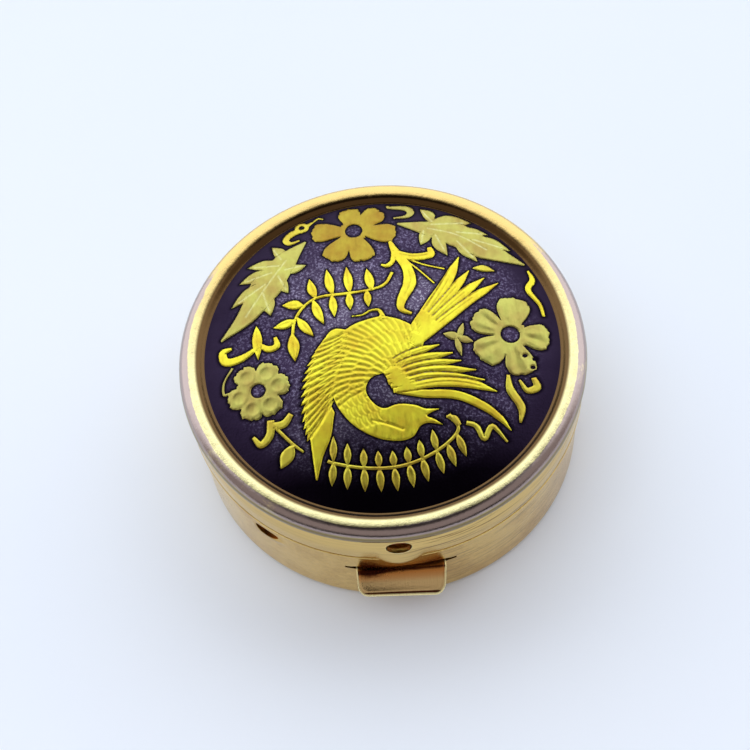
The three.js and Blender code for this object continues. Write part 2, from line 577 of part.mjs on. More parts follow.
function addScrolls() {
  const scroll = (name, parts, look, holes = []) => add(name, foil(parts, holes), look);
  scroll('inlay_scroll_top', [ribbon([[2.3, 17], [2.4, 16.7], [4, 16.4], [4.5, 15.8], [4, 15.2],
    [2.7, 15.1]], [0.3, 0.4, 0.7, 0.8, 0.5, 0.2], 3)], PALE);
  scroll('inlay_scroll_top_left', [
    ribbon([[-4.5, 16.1], [-5, 16.3], [-5.6, 15.9], [-6.2, 15.5]], [0.15, 0.2, 0.2, 0.5], 3),
    ellipse(-6.8, 15.3, 0.75, 0.7, 12),
    ribbon([[-6.9, 14.9], [-7.8, 14.7], [-8.5, 14], [-8.1, 13.4], [-7.1, 13.6]],
      [0.6, 0.8, 0.7, 0.5, 0.15], 3),
  ], WARM, [ellipse(-6.8, 15.35, 0.3, 0.26, 8)]);
  scroll('inlay_lily', [
    ribbon([[2, 12], [2.5, 10.4], [3.4, 8.4], [3.5, 6.4], [2.5, 4.4], [2.4, 3.3], [3.3, 2.7]],
      [0.3, 0.9, 1, 1.3, 0.9, 0.6, 0.3], 3),
    ribbon([[2.5, 10.4], [4.2, 9.6], [5.9, 9.8], [5.9, 10.7]], [0.6, 0.9, 0.9, 0.4], 3),
    ribbon([[2.3, 10.6], [2.1, 9.4], [1.5, 8.8], [0.9, 9]], [0.5, 0.5, 0.5, 0.2], 3),
    ribbon([[3.4, 9.2], [4.4, 8.1], [5.9, 6.1]], [0.2, 0.16, 0.14], 3),
    ribbon([[3.6, 9.4], [5.2, 8.5], [7.1, 7.8]], [0.2, 0.16, 0.14], 3),
  ], BRIGHT);
  scroll('inlay_fleur_left', [
    blade([-12, 3.7], [-12, -0.2], 1),
    ribbon([[-11.8, 1.3], [-13.6, 0.3], [-15.2, 0.2], [-15.5, 1.3], [-14.6, 1.6]],
      [0.3, 0.8, 0.9, 0.8, 0.3], 3),
    ribbon([[-12, 1.7], [-11, 0.8], [-10.1, 1], [-10.2, 2]], [0.3, 0.7, 0.7, 0.3], 3),
  ], BRIGHT);
  scroll('inlay_tendril_left', [ribbon([[-14.6, -0.6], [-15.5, -2], [-15.6, -3.3], [-15, -3.3]],
    [0.25, 0.25, 0.3, 0.25], 3)], PALE);
  scroll('inlay_fleur_lower_left', [
    ribbon([[-11.2, -6.9], [-11.4, -8.4], [-12.3, -9.2], [-13, -8.3]], [0.7, 0.8, 0.7, 0.3], 3),
    ribbon([[-11.3, -7.5], [-10, -7.5], [-9.2, -6.6]], [0.7, 0.8, 0.5], 3),
    ribbon([[-10.8, -7.7], [-9.4, -9.5], [-8.3, -10.6]], [0.3, 0.3, 0.2], 2),
    blade([-9.2, -9.7], [-10.6, -11.9], 1.3),
  ], WARM);
  scroll('inlay_small_leaf', [blade([9.9, 7.7], [12.1, 7.2], 0.8)], WARM);
  scroll('inlay_wave_right', [ribbon([[15.4, 7.2], [15.7, 6], [15.1, 4.8], [16, 3], [16.2, 1.6]],
    [0.2, 0.6, 0.6, 0.4, 0.3], 3)], BRIGHT);
  scroll('inlay_sprig', [
    blade([7.8, -0.5], [6.1, 0.1], 0.9), blade([7.5, -0.7], [8.2, 1.2], 0.6),
    blade([7.4, -0.4], [8.9, -1], 0.8), blade([7.3, -0.3], [7.6, -2.5], 0.6),
  ], PALE);
  scroll('inlay_bar', [ribbon([[11.8, -4.8], [11.8, -6.4], [12.6, -8.2], [12.3, -9.8]],
    [0.3, 0.8, 0.8, 0.2], 3)], WARM);
  scroll('inlay_hook', [ribbon([[12.8, -5.4], [13.4, -6.5], [14.4, -6.2], [14.2, -5.2]],
    [0.2, 0.6, 0.8, 0.5], 3)], WARM);
  scroll('inlay_wave_lower', [ribbon([[7.2, -9.5], [8.1, -9.9], [8.7, -11.2], [9.6, -10], [10.8, -11.6]],
    [0.4, 0.5, 0.5, 0.5, 0.2], 3)], WARM);
}

// ------------------------------------------------------------------------------ the assembly

add('base_cup', baseCup(), GILT);
add('base_collar', baseCollar(), GILT);
add('latch_foot', latchFoot(), SPRING);
add('thumb_latch', thumbLatch(), SPRING);
add('base_knuckle_left', baseKnuckle(-1), GILT);
add('base_knuckle_right', baseKnuckle(1), GILT);
add('hinge_pin', hingeBar(PIN_R, -KNUCKLE_HALF - 0.1, KNUCKLE_HALF + 0.1), GILT);
add('lid_knuckle', lidKnuckle(), GILT);
add('lid_bezel', lidBezel(), GILT);
add('steel_disc', steelDisc(), BLACK);
add('lid_pan', lidPan(), GILT);
addFlowers();
addLeaves();
addFerns();
addBird();
addScrolls();

export default box;
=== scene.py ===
import math

import bmesh
import bpy
import numpy as np
from mathutils import Matrix, Vector
from mathutils.geometry import delaunay_2d_cdt


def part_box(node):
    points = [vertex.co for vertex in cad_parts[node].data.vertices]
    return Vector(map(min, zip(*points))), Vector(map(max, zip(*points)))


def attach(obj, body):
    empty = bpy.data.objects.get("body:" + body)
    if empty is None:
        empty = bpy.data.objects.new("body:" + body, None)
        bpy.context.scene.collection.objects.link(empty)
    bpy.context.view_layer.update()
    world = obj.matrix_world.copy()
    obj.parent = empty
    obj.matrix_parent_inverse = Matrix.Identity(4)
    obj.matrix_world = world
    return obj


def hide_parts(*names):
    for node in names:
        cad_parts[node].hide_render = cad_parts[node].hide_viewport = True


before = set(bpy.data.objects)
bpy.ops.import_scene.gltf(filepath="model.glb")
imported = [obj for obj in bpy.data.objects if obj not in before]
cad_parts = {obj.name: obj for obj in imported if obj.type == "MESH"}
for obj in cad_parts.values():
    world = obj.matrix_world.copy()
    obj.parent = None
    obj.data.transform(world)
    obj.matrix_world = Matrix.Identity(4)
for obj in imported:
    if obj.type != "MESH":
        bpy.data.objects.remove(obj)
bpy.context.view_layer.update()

# Lengths here are millimetres in the frame's axes, and MM turns them into the scene's metres.
MM = 0.001


def corners(node):
    """The lowest and highest corner of a CAD node, in millimetres."""
    low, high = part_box(node)
    return low / MM, high / MM


# ------------------------------------------------------------------ sizes taken from the frame

CUP_LOW, CUP_HIGH = corners("base_cup")
BEZEL_LOW, BEZEL_HIGH = corners("lid_bezel")
DISC_LOW, DISC_HIGH = corners("steel_disc")
COLLAR_LOW, COLLAR_HIGH = corners("base_collar")
PAN_LOW, PAN_HIGH = corners("lid_pan")
LATCH_LOW, LATCH_HIGH = corners("thumb_latch")
FOOT_LOW, FOOT_HIGH = corners("latch_foot")
KNUCKLE_LOW, KNUCKLE_HIGH = corners("base_knuckle_right")
LID_KNUCKLE_LOW, LID_KNUCKLE_HIGH = corners("lid_knuckle")
PIN_LOW, PIN_HIGH = corners("hinge_pin")

BEAD_R = BEZEL_HIGH.x
BEAD_TOP = BEZEL_HIGH.z
TONGUE_TIP = BEZEL_LOW.z
LIP_R = CUP_HIGH.x
RIM_Z = CUP_HIGH.z
PARTING_Z = RIM_Z + 0.05
WALL_R = LIP_R - 0.25
WALL = 0.45
FLOOR = 0.5
DISC_R = DISC_HIGH.x
DOME_TOP = DISC_HIGH.z
SEAT_R = DISC_R - 0.4
DOME_DROP = 1.85               # how much lower the dome is at the bezel's inner edge
DOME_R = (SEAT_R**2 + DOME_DROP**2) / (2 * DOME_DROP)
HINGE_Y = (PIN_LOW.y + PIN_HIGH.y) / 2
HINGE_Z = (PIN_LOW.z + PIN_HIGH.z) / 2
PATTERN_TURN = 1.1             # degrees that the disc's pattern is turned from the clasp


def dome(x, y):
    """Height of the disc's face."""
    return DOME_TOP - DOME_R + np.sqrt(DOME_R**2 - np.square(x) - np.square(y))


# ---------------------------------------------------------------------------------- materials


class Nodes:
    """A node tree, with short calls to add and join nodes."""

    def __init__(self, tree):
        self.tree = tree

    def set(self, socket, value):
        """Joins a socket to another node's output, or gives it a constant."""
        if isinstance(value, bpy.types.NodeSocket):
            self.tree.links.new(value, socket)
        elif isinstance(value, tuple) and len(socket.default_value) == 4:
            socket.default_value = (*value, 1)
        else:
            socket.default_value = value

    def add(self, kind, **inputs):
        node = self.tree.nodes.new("ShaderNode" + kind)
        for name, value in inputs.items():
            self.set(node.inputs[name.replace("_", " ")], value)
        return node

    def stretch(self, source, scale):
        return self.add("Mapping", Vector=source, Scale=scale).outputs["Vector"]

    def noise(self, vector, scale, detail=3, roughness=0.5, distortion=0):
        node = self.add("TexNoise", Vector=vector, Scale=scale, Detail=detail,
                        Roughness=roughness, Distortion=distortion)
        return node.outputs["Fac"]

    def ramp(self, value, low, high, start=0.0, end=1.0, smooth=False):
        node = self.add("MapRange", Value=value, From_Min=low, From_Max=high,
                        To_Min=start, To_Max=end)
        if smooth:
            node.interpolation_type = "SMOOTHSTEP"
        return node.outputs["Result"]

    def math(self, operation, a, b):
        node = self.add("Math")
        node.operation = operation
        self.set(node.inputs[0], a)
        self.set(node.inputs[1], b)
        return node.outputs[0]

    def mix(self, factor, a, b):
        node = self.add("Mix")
        node.data_type = "RGBA"
        for index, value in ((0, factor), (6, a), (7, b)):      # 6 and 7 are the colours
            self.set(node.inputs[index], value)
        return node.outputs[2]

    def bump(self, height, distance, strength, normal=None):
        """A bump; distance is in millimetres."""
        node = self.add("Bump", Height=height, Distance=distance * MM, Strength=strength)
        if normal is not None:
            self.set(node.inputs["Normal"], normal)
        return node.outputs["Normal"]

    def attribute(self, name):
        node = self.add("Attribute")
        node.attribute_name = name
        return node.outputs["Fac"]


class Finish(Nodes):
    """A material with its shader and its piece's own coordinates."""

    def __init__(self, name, colour, metallic=1.0):
        self.material = bpy.data.materials.new(name)
        self.material.use_nodes = True
        self.material.diffuse_color = (*colour, 1)
        super().__init__(self.material.node_tree)
        self.shader = self.tree.nodes["Principled BSDF"]
        self.shader.inputs["Metallic"].default_value = metallic
        coords = self.add("TexCoord")
        self.place = coords.outputs["Object"]
        self.around = coords.outputs["UV"]

    def done(self, colour, roughness, normal=None):
        for name, value in (("Base Color", colour), ("Roughness", roughness), ("Normal", normal)):
            if value is not None:
                self.set(self.shader.inputs[name], value)
        return self.material


def gilt(name, colour, worn_and_shade_colour, wear_range, rough, brushed, deep=None, grit=0.01):
    """Gilt brass: polish lines along the brushed direction, scratches, haze and rubbed-through
    plating.
    With a deep colour, the piece's attributes say where the rubbed colour goes (on the tab also
    oxide and a band of painted shade), where the deeper colour goes (on the lid painted light),
    where painted shade and painted reflection go, and where it is scored."""
    nodes = Finish(name, colour)
    lines = nodes.noise(nodes.stretch(nodes.around, brushed), 60, 4, 0.6)
    across = nodes.stretch(nodes.around, (brushed[0] * 3, brushed[1] * 0.4, 1))
    scratch = nodes.noise(across, 14, 5, 0.7, 1.2)
    cloud = nodes.noise(nodes.place, 160, 4, 0.6)
    grain = nodes.noise(nodes.place, 5000, 2)
    patchy = nodes.math("ADD", cloud, nodes.math("MULTIPLY", scratch, 0.35))
    tint = nodes.mix(nodes.ramp(scratch, 0.35, 0.7), colour, tuple(0.8 * c for c in colour))
    normal = nodes.bump(lines, 0.012, 0.35)
    normal = nodes.bump(scratch, 0.02, 0.4, normal)
    if deep is None:
        paint = nodes.mix(nodes.ramp(patchy, *wear_range), tint, worn_and_shade_colour)
    else:
        patchy = nodes.math("ADD", patchy, nodes.attribute("wear_and_shade"))
        tint = nodes.mix(nodes.attribute("deep"), tint, deep)
        paint = nodes.mix(nodes.ramp(patchy, *wear_range), tint, worn_and_shade_colour)
        # Mixes in painted shade and a painted dark reflection on the lid's bead.
        paint = nodes.mix(nodes.attribute("painted_shade"), paint, PAINTED_SHADE_BROWN)
        scores = nodes.noise(nodes.stretch(nodes.around, (2.2, 120, 1)), 1, 3, 0.5, 0.5)
        scores = nodes.math("MULTIPLY", nodes.ramp(scores, 0.55, 0.6), nodes.attribute("scored"))
        paint = nodes.mix(nodes.math("MULTIPLY", scores, 0.75), paint, SCORE)
        dents = nodes.noise(nodes.stretch(nodes.place, (1, 1, 0.5)), 480, 2, 0.5)
        normal = nodes.bump(dents, 0.08, 0.45, normal)
        normal = nodes.bump(grain, grit, 0.6, normal)
    haze = nodes.math("ADD", cloud, nodes.math("MULTIPLY", grain, 0.3))
    return nodes.done(paint, nodes.ramp(haze, 0.3, 0.9, rough * 0.7, rough * 1.8), normal)


def blackened_steel():
    """Blued steel with a fine punched tooth, bare and darker beside each inlay and bare at the rim;
    dark is painted shade at the rim and a painted dark reflection over the front, lit is painted
    sheen.
    """
    nodes = Finish("black_steel_finish", (0.03, 0.02, 0.04))
    tooth = nodes.noise(nodes.place, 4200, 3, 0.7)
    cloud = nodes.noise(nodes.place, 180, 4, 0.6)
    lit = nodes.attribute("lit")
    speck = nodes.math("MULTIPLY", nodes.ramp(tooth, 0.5, 0.66), nodes.attribute("ground"))
    speck = nodes.math("MULTIPLY", speck, nodes.ramp(cloud, 0.3, 0.7, 0.3, 1.0))
    base = nodes.mix(nodes.ramp(cloud, 0.3, 0.7), (0.02, 0.012, 0.03), (0.04, 0.026, 0.056))
    base = nodes.mix(nodes.math("MULTIPLY", lit, 0.5), base, (0.13, 0.1, 0.16))
    bright = nodes.mix(lit, (0.24, 0.2, 0.32), (0.55, 0.5, 0.6))
    paint = nodes.mix(nodes.math("MULTIPLY", speck, 0.8), base, bright)
    # Painted shade at the rim and a painted dark reflection over the front.
    paint = nodes.mix(nodes.attribute("dark"), paint, (0.004, 0.002, 0.005))
    paint = nodes.mix(nodes.attribute("halo"), paint, (0.004, 0.002, 0.006))
    return nodes.done(paint, nodes.ramp(cloud, 0.2, 0.8, 0.24, 0.34), nodes.bump(tooth, 0.04, 0.5))


def nib_shade_brass():
    """Spring brass in a dull, reddish dark: painted shade for the nib, which sits in the dark
    behind the catch hole.
    """
    nodes = Finish("nib_shade_finish", (0.5, 0.17, 0.06), 0.35)
    cloud = nodes.noise(nodes.place, 900, 3)
    paint = nodes.mix(nodes.ramp(cloud, 0.35, 0.65), (0.55, 0.2, 0.07), (0.34, 0.09, 0.03))
    return nodes.done(paint, 0.45, nodes.bump(cloud, 0.03, 0.5))


def gold_foil(name, colour, deep):
    """Gold foil: tool marks, a satin tooth, and another colour where the graver has cut."""
    nodes = Finish(name, colour)
    hatch = nodes.noise(nodes.stretch(nodes.place, (2600, 700, 1)), 1, 3, 0.6)
    cloud = nodes.noise(nodes.place, 420, 3, 0.6)
    patch = nodes.noise(nodes.place, 2600, 2, 0.5)
    warmer = (colour[0] * 0.8, colour[1] * 0.62, colour[2] * 0.7)
    tint = nodes.mix(nodes.ramp(cloud, 0.35, 0.7), colour, warmer)
    shade = nodes.math("MULTIPLY", nodes.attribute("cut"), nodes.ramp(patch, 0.35, 0.65, 0.45, 1.0))
    paint = nodes.mix(shade, tint, deep)
    return nodes.done(paint, nodes.ramp(hatch, 0.3, 0.7, 0.3, 0.5), nodes.bump(hatch, 0.02, 0.5))


NICKEL = (0.42, 0.33, 0.3)       # under the gilding of the bead
# Dark oxide of the tab, also used for the painted shade where the tab leaves the slit in the wall.
TARNISH_AND_SHADE = (0.09, 0.02, 0.01)
# Brown of the painted shade under the bead and of the painted reflection on its inner slope.
PAINTED_SHADE_BROWN = (0.1, 0.05, 0.018)
SCORE = (0.12, 0.05, 0.012)
AROUND = (1, 14, 1)              # polish lines that run round the case
FINISH = {
    "case": gilt("gilt_case", (0.84, 0.58, 0.18), (0.5, 0.27, 0.06), (0.6, 0.95), 0.14, AROUND,
                 (0.4, 0.25, 0.07), 0.016),
    # The bead's paler, yellower base colour is a painted highlight: it copies the light along the
    # crest.
    "bead": gilt("gilt_bead", (0.86, 0.76, 0.38), NICKEL, (0.95, 1.15), 0.12, AROUND,
                 (0.71, 0.5, 0.175)),
    "latch": gilt("gilt_latch", (1.0, 0.85, 0.42), TARNISH_AND_SHADE, (0.9, 1.3), 0.22, (6, 1, 1),
                  (0.62, 0.25, 0.06), 0.035),
    "inside": gilt("gilt_inside", (0.8, 0.56, 0.22), (0.62, 0.42, 0.18), (0.7, 1.0), 0.3,
                   (8, 2, 1)),
    "hinge": gilt("gilt_hinge", (0.76, 0.54, 0.23), (0.5, 0.34, 0.15), (0.6, 0.85), 0.26,
                  (1, 6, 1)),
    "pin": gilt("drawn_pin", (0.74, 0.56, 0.28), (0.45, 0.33, 0.18), (0.6, 0.85), 0.3, (1, 8, 1)),
    "rust": nib_shade_brass(),
    "steel": blackened_steel(),
    "bright": gold_foil("foil_bright", (0.78, 0.71, 0.045), (0.25, 0.15, 0.012)),
    # On the pale foil the graver's grooves take a lighter colour: a painted highlight along the
    # leaves' veins.
    "pale": gold_foil("foil_pale", (0.46, 0.44, 0.1), (0.7, 0.7, 0.34)),
    "soft": gold_foil("foil_soft", (0.62, 0.54, 0.06), (0.24, 0.15, 0.015)),
    "warm": gold_foil("foil_warm", (0.4, 0.3, 0.035), (0.2, 0.12, 0.015)),
}


# ------------------------------------------------------------------------------ mesh building


def make_object(name, vertices, faces, finish, body, slot, nodes, uv=None, sharp=40):
    """A mesh object from millimetre vertices, riding on a body in place of CAD nodes."""
    mesh = bpy.data.meshes.new(name)
    mesh.from_pydata((np.asarray(vertices, float) * MM).tolist(), [], faces)
    mesh.validate()
    if uv is not None:
        layer = mesh.uv_layers.new(name="surface")
        index = np.zeros(len(mesh.loops), np.int32)
        mesh.loops.foreach_get("vertex_index", index)
        layer.data.foreach_set("uv", np.asarray(uv, np.float32)[index].ravel())
    mesh.shade_smooth()
    mesh.set_sharp_from_angle(angle=math.radians(sharp))
    mesh.materials.append(FINISH[finish])
    piece = bpy.data.objects.new(name, mesh)
    bpy.context.scene.collection.objects.link(piece)
    place_piece(piece, body, nodes)
    return piece


def place_piece(piece, body, nodes):
    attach(piece, body)
    if nodes:
        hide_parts(*nodes)


def fade(value, start, width, low=0, high=1):
    """Grows from 0 at start to 1 over the width, kept between low and high.
    With a negative width it grows downwards from start."""
    return np.clip((value - start) / width, low, high)


def heading(turn):
    """The direction of an angle in radians."""
    return np.array([math.cos(turn), math.sin(turn)])


def arc(centre, half_width, half_height, start, end, steps):
    turn = np.radians(np.linspace(start, end, steps + 1))
    return np.stack([centre[0] + half_width * np.cos(turn),
                     centre[1] + half_height * np.sin(turn)], 1)


def smooth_line(points, steps=8):
    """A Catmull-Rom curve through the points."""
    p = np.asarray(points, float)
    p = np.vstack([2 * p[0] - p[1], p, 2 * p[-1] - p[-2]])
    t = np.linspace(0, 1, steps, endpoint=False)[:, None]
    rows = []
    for a, b, c, d in zip(p, p[1:], p[2:], p[3:]):
        rows.append(0.5 * (2 * b + (c - a) * t + (2 * a - 5 * b + 4 * c - d) * t**2
                           + (3 * b - a - 3 * c + d) * t**3))
    return np.vstack([*rows, p[-2:-1]])


def turned(profile, azimuths, closed):
    """Vertices, faces and UV of a profile of (radius, height) turned about the box's axis.
    Azimuth 0 is the front, 90 is +X. An open profile starts and ends on the axis."""
    profile = np.asarray(profile, float)
    count = len(profile)
    turn = np.radians(azimuths)
    radius = profile[:, 0][None, :]
    x = radius * np.sin(turn)[:, None]
    y = -radius * np.cos(turn)[:, None]
    z = np.broadcast_to(profile[:, 1][None, :], x.shape)
    vertices = np.stack([x, y, z], 2).reshape(-1, 3)
    along = np.concatenate([[0], np.cumsum(np.hypot(*np.diff(profile, axis=0).T))])
    around = np.minimum(turn, 2 * np.pi - turn) * 19.6
    uv = np.stack(np.broadcast_arrays(around[:, None], along[None, :]), 2).reshape(-1, 2) / 20
    faces = []
    rings = len(azimuths)
    for i in range(rings):
        j = (i + 1) % rings
        for k in range(count if closed else count - 1):
            m = (k + 1) % count
            faces.append([i * count + k, j * count + k, j * count + m, i * count + m])
    return vertices, faces, uv


def set_values(piece, name, values):
    """A number at each vertex, for the piece's material to read."""
    attribute = piece.data.attributes.new(name, "FLOAT", "POINT")
    attribute.data.foreach_set("value", np.asarray(values, np.float32))


def weld(piece, distance=0.0005):
    """Joins vertices that lie together, such as a turned piece's points on the axis."""
    work = bmesh.new()
    work.from_mesh(piece.data)
    bmesh.ops.remove_doubles(work, verts=work.verts, dist=distance * MM)
    bmesh.ops.recalc_face_normals(work, faces=work.faces)
    work.to_mesh(piece.data)
    work.free()
    return piece


def azimuth_steps(step, dense=()):
    """Azimuths round the circle, closer together in the dense ranges (low, high, step)."""
    values = list(np.arange(-180, 180, step))
    for low, high, fine in dense:
        values = [a for a in values if not low <= a <= high] + list(np.arange(low, high, fine))
    return np.array(sorted(values))


def cut_away(piece, cutters):
    """Cuts closed cutter meshes, given as (vertices, faces), out of a piece."""
    for vertices, faces in cutters:
        mesh = bpy.data.meshes.new("cutter")
        mesh.from_pydata((np.asarray(vertices, float) * MM).tolist(), [], faces)
        work = bmesh.new()
        work.from_mesh(mesh)
        bmesh.ops.recalc_face_normals(work, faces=work.faces)
        work.to_mesh(mesh)
        work.free()
        cutter = bpy.data.objects.new("cutter", mesh)
        bpy.context.scene.collection.objects.link(cutter)
        change = piece.modifiers.new("cut", "BOOLEAN")
        change.object = cutter
        change.solver = "EXACT"
        bpy.context.view_layer.update()
        graph = bpy.context.evaluated_depsgraph_get()
        result = bpy.data.meshes.new_from_object(piece.evaluated_get(graph))
        piece.modifiers.clear()
        old = piece.data
        piece.data = result
        bpy.data.meshes.remove(old)
        bpy.data.objects.remove(cutter)
        bpy.data.meshes.remove(mesh)
    piece.data.set_sharp_from_angle(angle=math.radians(40))
    return piece


def prism(outline, axis, low, high):
    """A closed prism of a flat outline between two values along axis "x", "y" or "z"."""
    outline = np.asarray(outline, float)
    count = len(outline)
    ends = []
    for value in (low, high):
        flat = np.full((count, 1), value)
        first, second = outline[:, :1], outline[:, 1:]
        parts = {"x": (flat, first, second), "y": (first, flat, second), "z": (first, second, flat)}
        ends.append(np.hstack(parts[axis]))
    sides = [[k, (k + 1) % count, count + (k + 1) % count, count + k] for k in range(count)]
    faces = [list(range(count))[::-1], list(range(count, 2 * count)), *sides]
    return np.vstack(ends), faces


def turn_z(points, degrees):
    """Flat or solid points turned about the box's axis, +X towards +Y."""
    points = np.asarray(points, float)
    c, s = math.cos(math.radians(degrees)), math.sin(math.radians(degrees))
    matrix = np.array([[c, s, 0], [-s, c, 0], [0, 0, 1]])
    size = points.shape[1]
    return points @ matrix[:size, :size]


# ------------------------------------------------------------------------------------ the base

SLIT_Z = 7.05
SLIT_HALF = 5.4
LANCE_AZIMUTH = -40.2
LANCE_Z = 8.4


def base_cup():
    corner = 1.0
    outer = [[0, 0], [6, 0], [12, 0], [16, 0],
             *arc((WALL_R - corner, corner), corner, corner, -90, 0, 10)]
    wall = np.stack([np.full(24, WALL_R), np.linspace(corner + 0.2, RIM_Z - 0.72, 24)], 1)
    lip = [[WALL_R + 0.03, RIM_Z - 0.6], *arc((LIP_R - 0.2, RIM_Z - 0.26), 0.2, 0.22, -60, 90, 8)]
    inner = WALL_R - WALL
    inward = [[inner + 0.1, RIM_Z], [inner, RIM_Z - 0.1],
              *[[inner, z] for z in np.linspace(9, 1.4, 8)],
              *arc((inner - 0.6, FLOOR + 0.6), 0.6, 0.6, 0, -90, 8),
              [14, FLOOR], [7, FLOOR], [0, FLOOR]]
    profile = np.vstack([outer, wall, lip, inward])
    dense = ((-50, -33, 0.25), (-18, 18, 0.4))
    vertices, faces, uv = turned(profile, azimuth_steps(1.25, dense), False)
    vertices = lance_bulge(vertices)
    piece = make_object("case_base", vertices, faces, "case", "base", "gilt_brass",
                        ["base_cup"], uv)
    side = np.degrees(np.arctan2(vertices[:, 0], -vertices[:, 1]))
    set_values(piece, "scored", fade(side, 5, 20, 0.1, 0.7) * fade(side, 75, -20, 0.1))
    weld(piece)
    across = np.linspace(-SLIT_HALF, SLIT_HALF, 41)
    open_up = 0.24 + 0.56 * np.clip(1 - (np.abs(across) / 4.9) ** 4, 0, 1)
    open_down = 0.15 + 0.15 * np.clip(1 - (np.abs(across) / 4.6) ** 6, 0, 1)
    slot = np.vstack([np.stack([across, SLIT_Z + open_up], 1),
                      np.stack([across, SLIT_Z - open_down], 1)[::-1]])
    hole = arc((0, LANCE_Z), 1.4, 0.5, 0, 342, 19)
    lanced, lanced_faces = prism(hole, "y", -WALL_R - 1, -WALL_R + 1)
    lance_flap()
    return cut_away(piece, [prism(slot, "y", -WALL_R - 1, -WALL_R + 2),
                            (turn_z(lanced, LANCE_AZIMUTH), lanced_faces)])


def plate(front, back):
    """Vertices and faces of a slab between two grids of points, rows by columns by 3."""
    rows, columns = front.shape[:2]
    layer = rows * columns
    index = np.arange(layer).reshape(rows, columns)
    quads = np.stack([index[:-1, :-1], index[:-1, 1:], index[1:, 1:], index[1:, :-1]], 2)
    quads = quads.reshape(-1, 4)
    edges = (index[0, :-1], index[:-1, -1], index[-1, :0:-1], index[:0:-1, 0])
    ring = np.concatenate(edges).tolist()
    sides = [[b, a, a + layer, b + layer] for a, b in zip(ring, ring[1:] + ring[:1])]
    faces = quads.tolist() + (quads[:, ::-1] + layer).tolist() + sides
    return np.vstack([front.reshape(-1, 3), back.reshape(-1, 3)]), faces


def lance_flap():
    """The strip pushed in by the lancing tool: it leaves the wall at the hole's left end."""
    along, row = np.meshgrid(np.linspace(0, 1, 15), np.linspace(-1, 1, 5), indexing="ij")
    x = -1.5 + 1.9 * along
    half = 0.56 * np.sqrt(np.maximum(1 - (x / 1.6) ** 2, 0.05))
    y = -np.sqrt(WALL_R**2 - x * x) + 0.12 + 0.75 * along**1.6
    front = np.stack([x, y, LANCE_Z + row * half], 2)
    vertices, faces = plate(front, front + (0, 0.22, 0))
    piece = make_object("lance_flap", turn_z(vertices, LANCE_AZIMUTH), faces, "latch", "base",
                        "gilt_brass", [])
    set_values(piece, "deep", np.ones(len(vertices)))
    weld(piece)


def lance_bulge(vertices):
    """The wall under the lanced hole is pushed out into a lip, and the edge above it is pushed out
    a little too.
    """
    radius = np.hypot(vertices[:, 0], vertices[:, 1])
    azimuth = np.degrees(np.arctan2(vertices[:, 0], -vertices[:, 1]))
    across = (azimuth - LANCE_AZIMUTH) * math.radians(1) * WALL_R / 1.7
    down = (vertices[:, 2] - (LANCE_Z - 0.6)) / 0.5
    push = 0.27 * np.exp(-across**4) * np.exp(-down**2)
    above = (vertices[:, 2] - (LANCE_Z + 0.5)) / 0.3
    push = push + 0.07 * np.exp(-across**4) * np.exp(-above**2)
    push = np.where(radius > WALL_R - 1.5, push, 0)
    grow = 1 + push / np.maximum(radius, 1)
    vertices = vertices.copy()
    vertices[:, :2] *= grow[:, None]
    return vertices


def base_collar():
    outer, inner = COLLAR_HIGH.x, COLLAR_HIGH.x - 0.35
    middle = (outer + inner) / 2
    low, high = COLLAR_LOW.z, COLLAR_HIGH.z
    profile = np.vstack([
        arc((middle, low + 0.1), 0.175, 0.1, 180, 360, 6),
        [[outer, z] for z in np.linspace(low + 0.3, high - 0.5, 6)],
        arc((middle, high - 0.18), 0.175, 0.18, 0, 180, 8),
        [[inner, z] for z in np.linspace(high - 0.5, low + 0.3, 6)],
    ])
    vertices, faces, uv = turned(profile, azimuth_steps(1.5, ((-14, 14, 0.5),)), True)
    piece = make_object("case_collar", vertices, faces, "inside", "base", "gilt_brass",
                        ["base_collar"], uv)
    weld(piece)
    gap = np.array([[-3.2, 8], [3.2, 8], [3.2, 13], [-3.2, 13]])
    return cut_away(piece, [prism(gap, "y", -21, -17)])


# ------------------------------------------------------------------------------------- the lid

NECK_Z = 13.8
NECK_R = 19.5
SKIRT_R = 19.82
SHEET = 0.4
CATCH_Z = 12.5


def bezel_profile():
    bead_z, half = 14.8, 1.1
    centre = BEAD_R - half
    edge = arc((SKIRT_R - 0.13, PARTING_Z + 0.13), 0.13, 0.13, -90, 0, 4)
    skirt = smooth_line([[SKIRT_R, PARTING_Z + 0.3], [SKIRT_R - 0.01, 11.2], [SKIRT_R - 0.05, 12],
                         [19.62, 13], [NECK_R, NECK_Z - 0.12]], 6)
    bead = arc((centre, bead_z), half, BEAD_TOP - bead_z, -56, 84, 34)
    shoulder = smooth_line([[18.7, 15.94], [18.4, 15.92], [18.12, 15.87], [17.93, 15.79],
                            [17.8, 15.68], [17.66, 15.55], [17.54, 15.475],
                            [SEAT_R + 0.04, 15.46]], 4)
    hollow = arc((centre, bead_z), half - SHEET, BEAD_TOP - bead_z - SHEET, 108, -50, 12)
    back = [[SEAT_R, 15.44], [SEAT_R + 0.02, 15.42], [SEAT_R + 0.5, 15.4]]
    inward = [[NECK_R - SHEET, NECK_Z - 0.1], [19.3, 12.6], [19.4, 11],
              [SKIRT_R - SHEET, PARTING_Z + 0.1], [SKIRT_R - SHEET + 0.08, PARTING_Z]]
    return np.vstack([edge, skirt, bead, shoulder, back, hollow, inward])


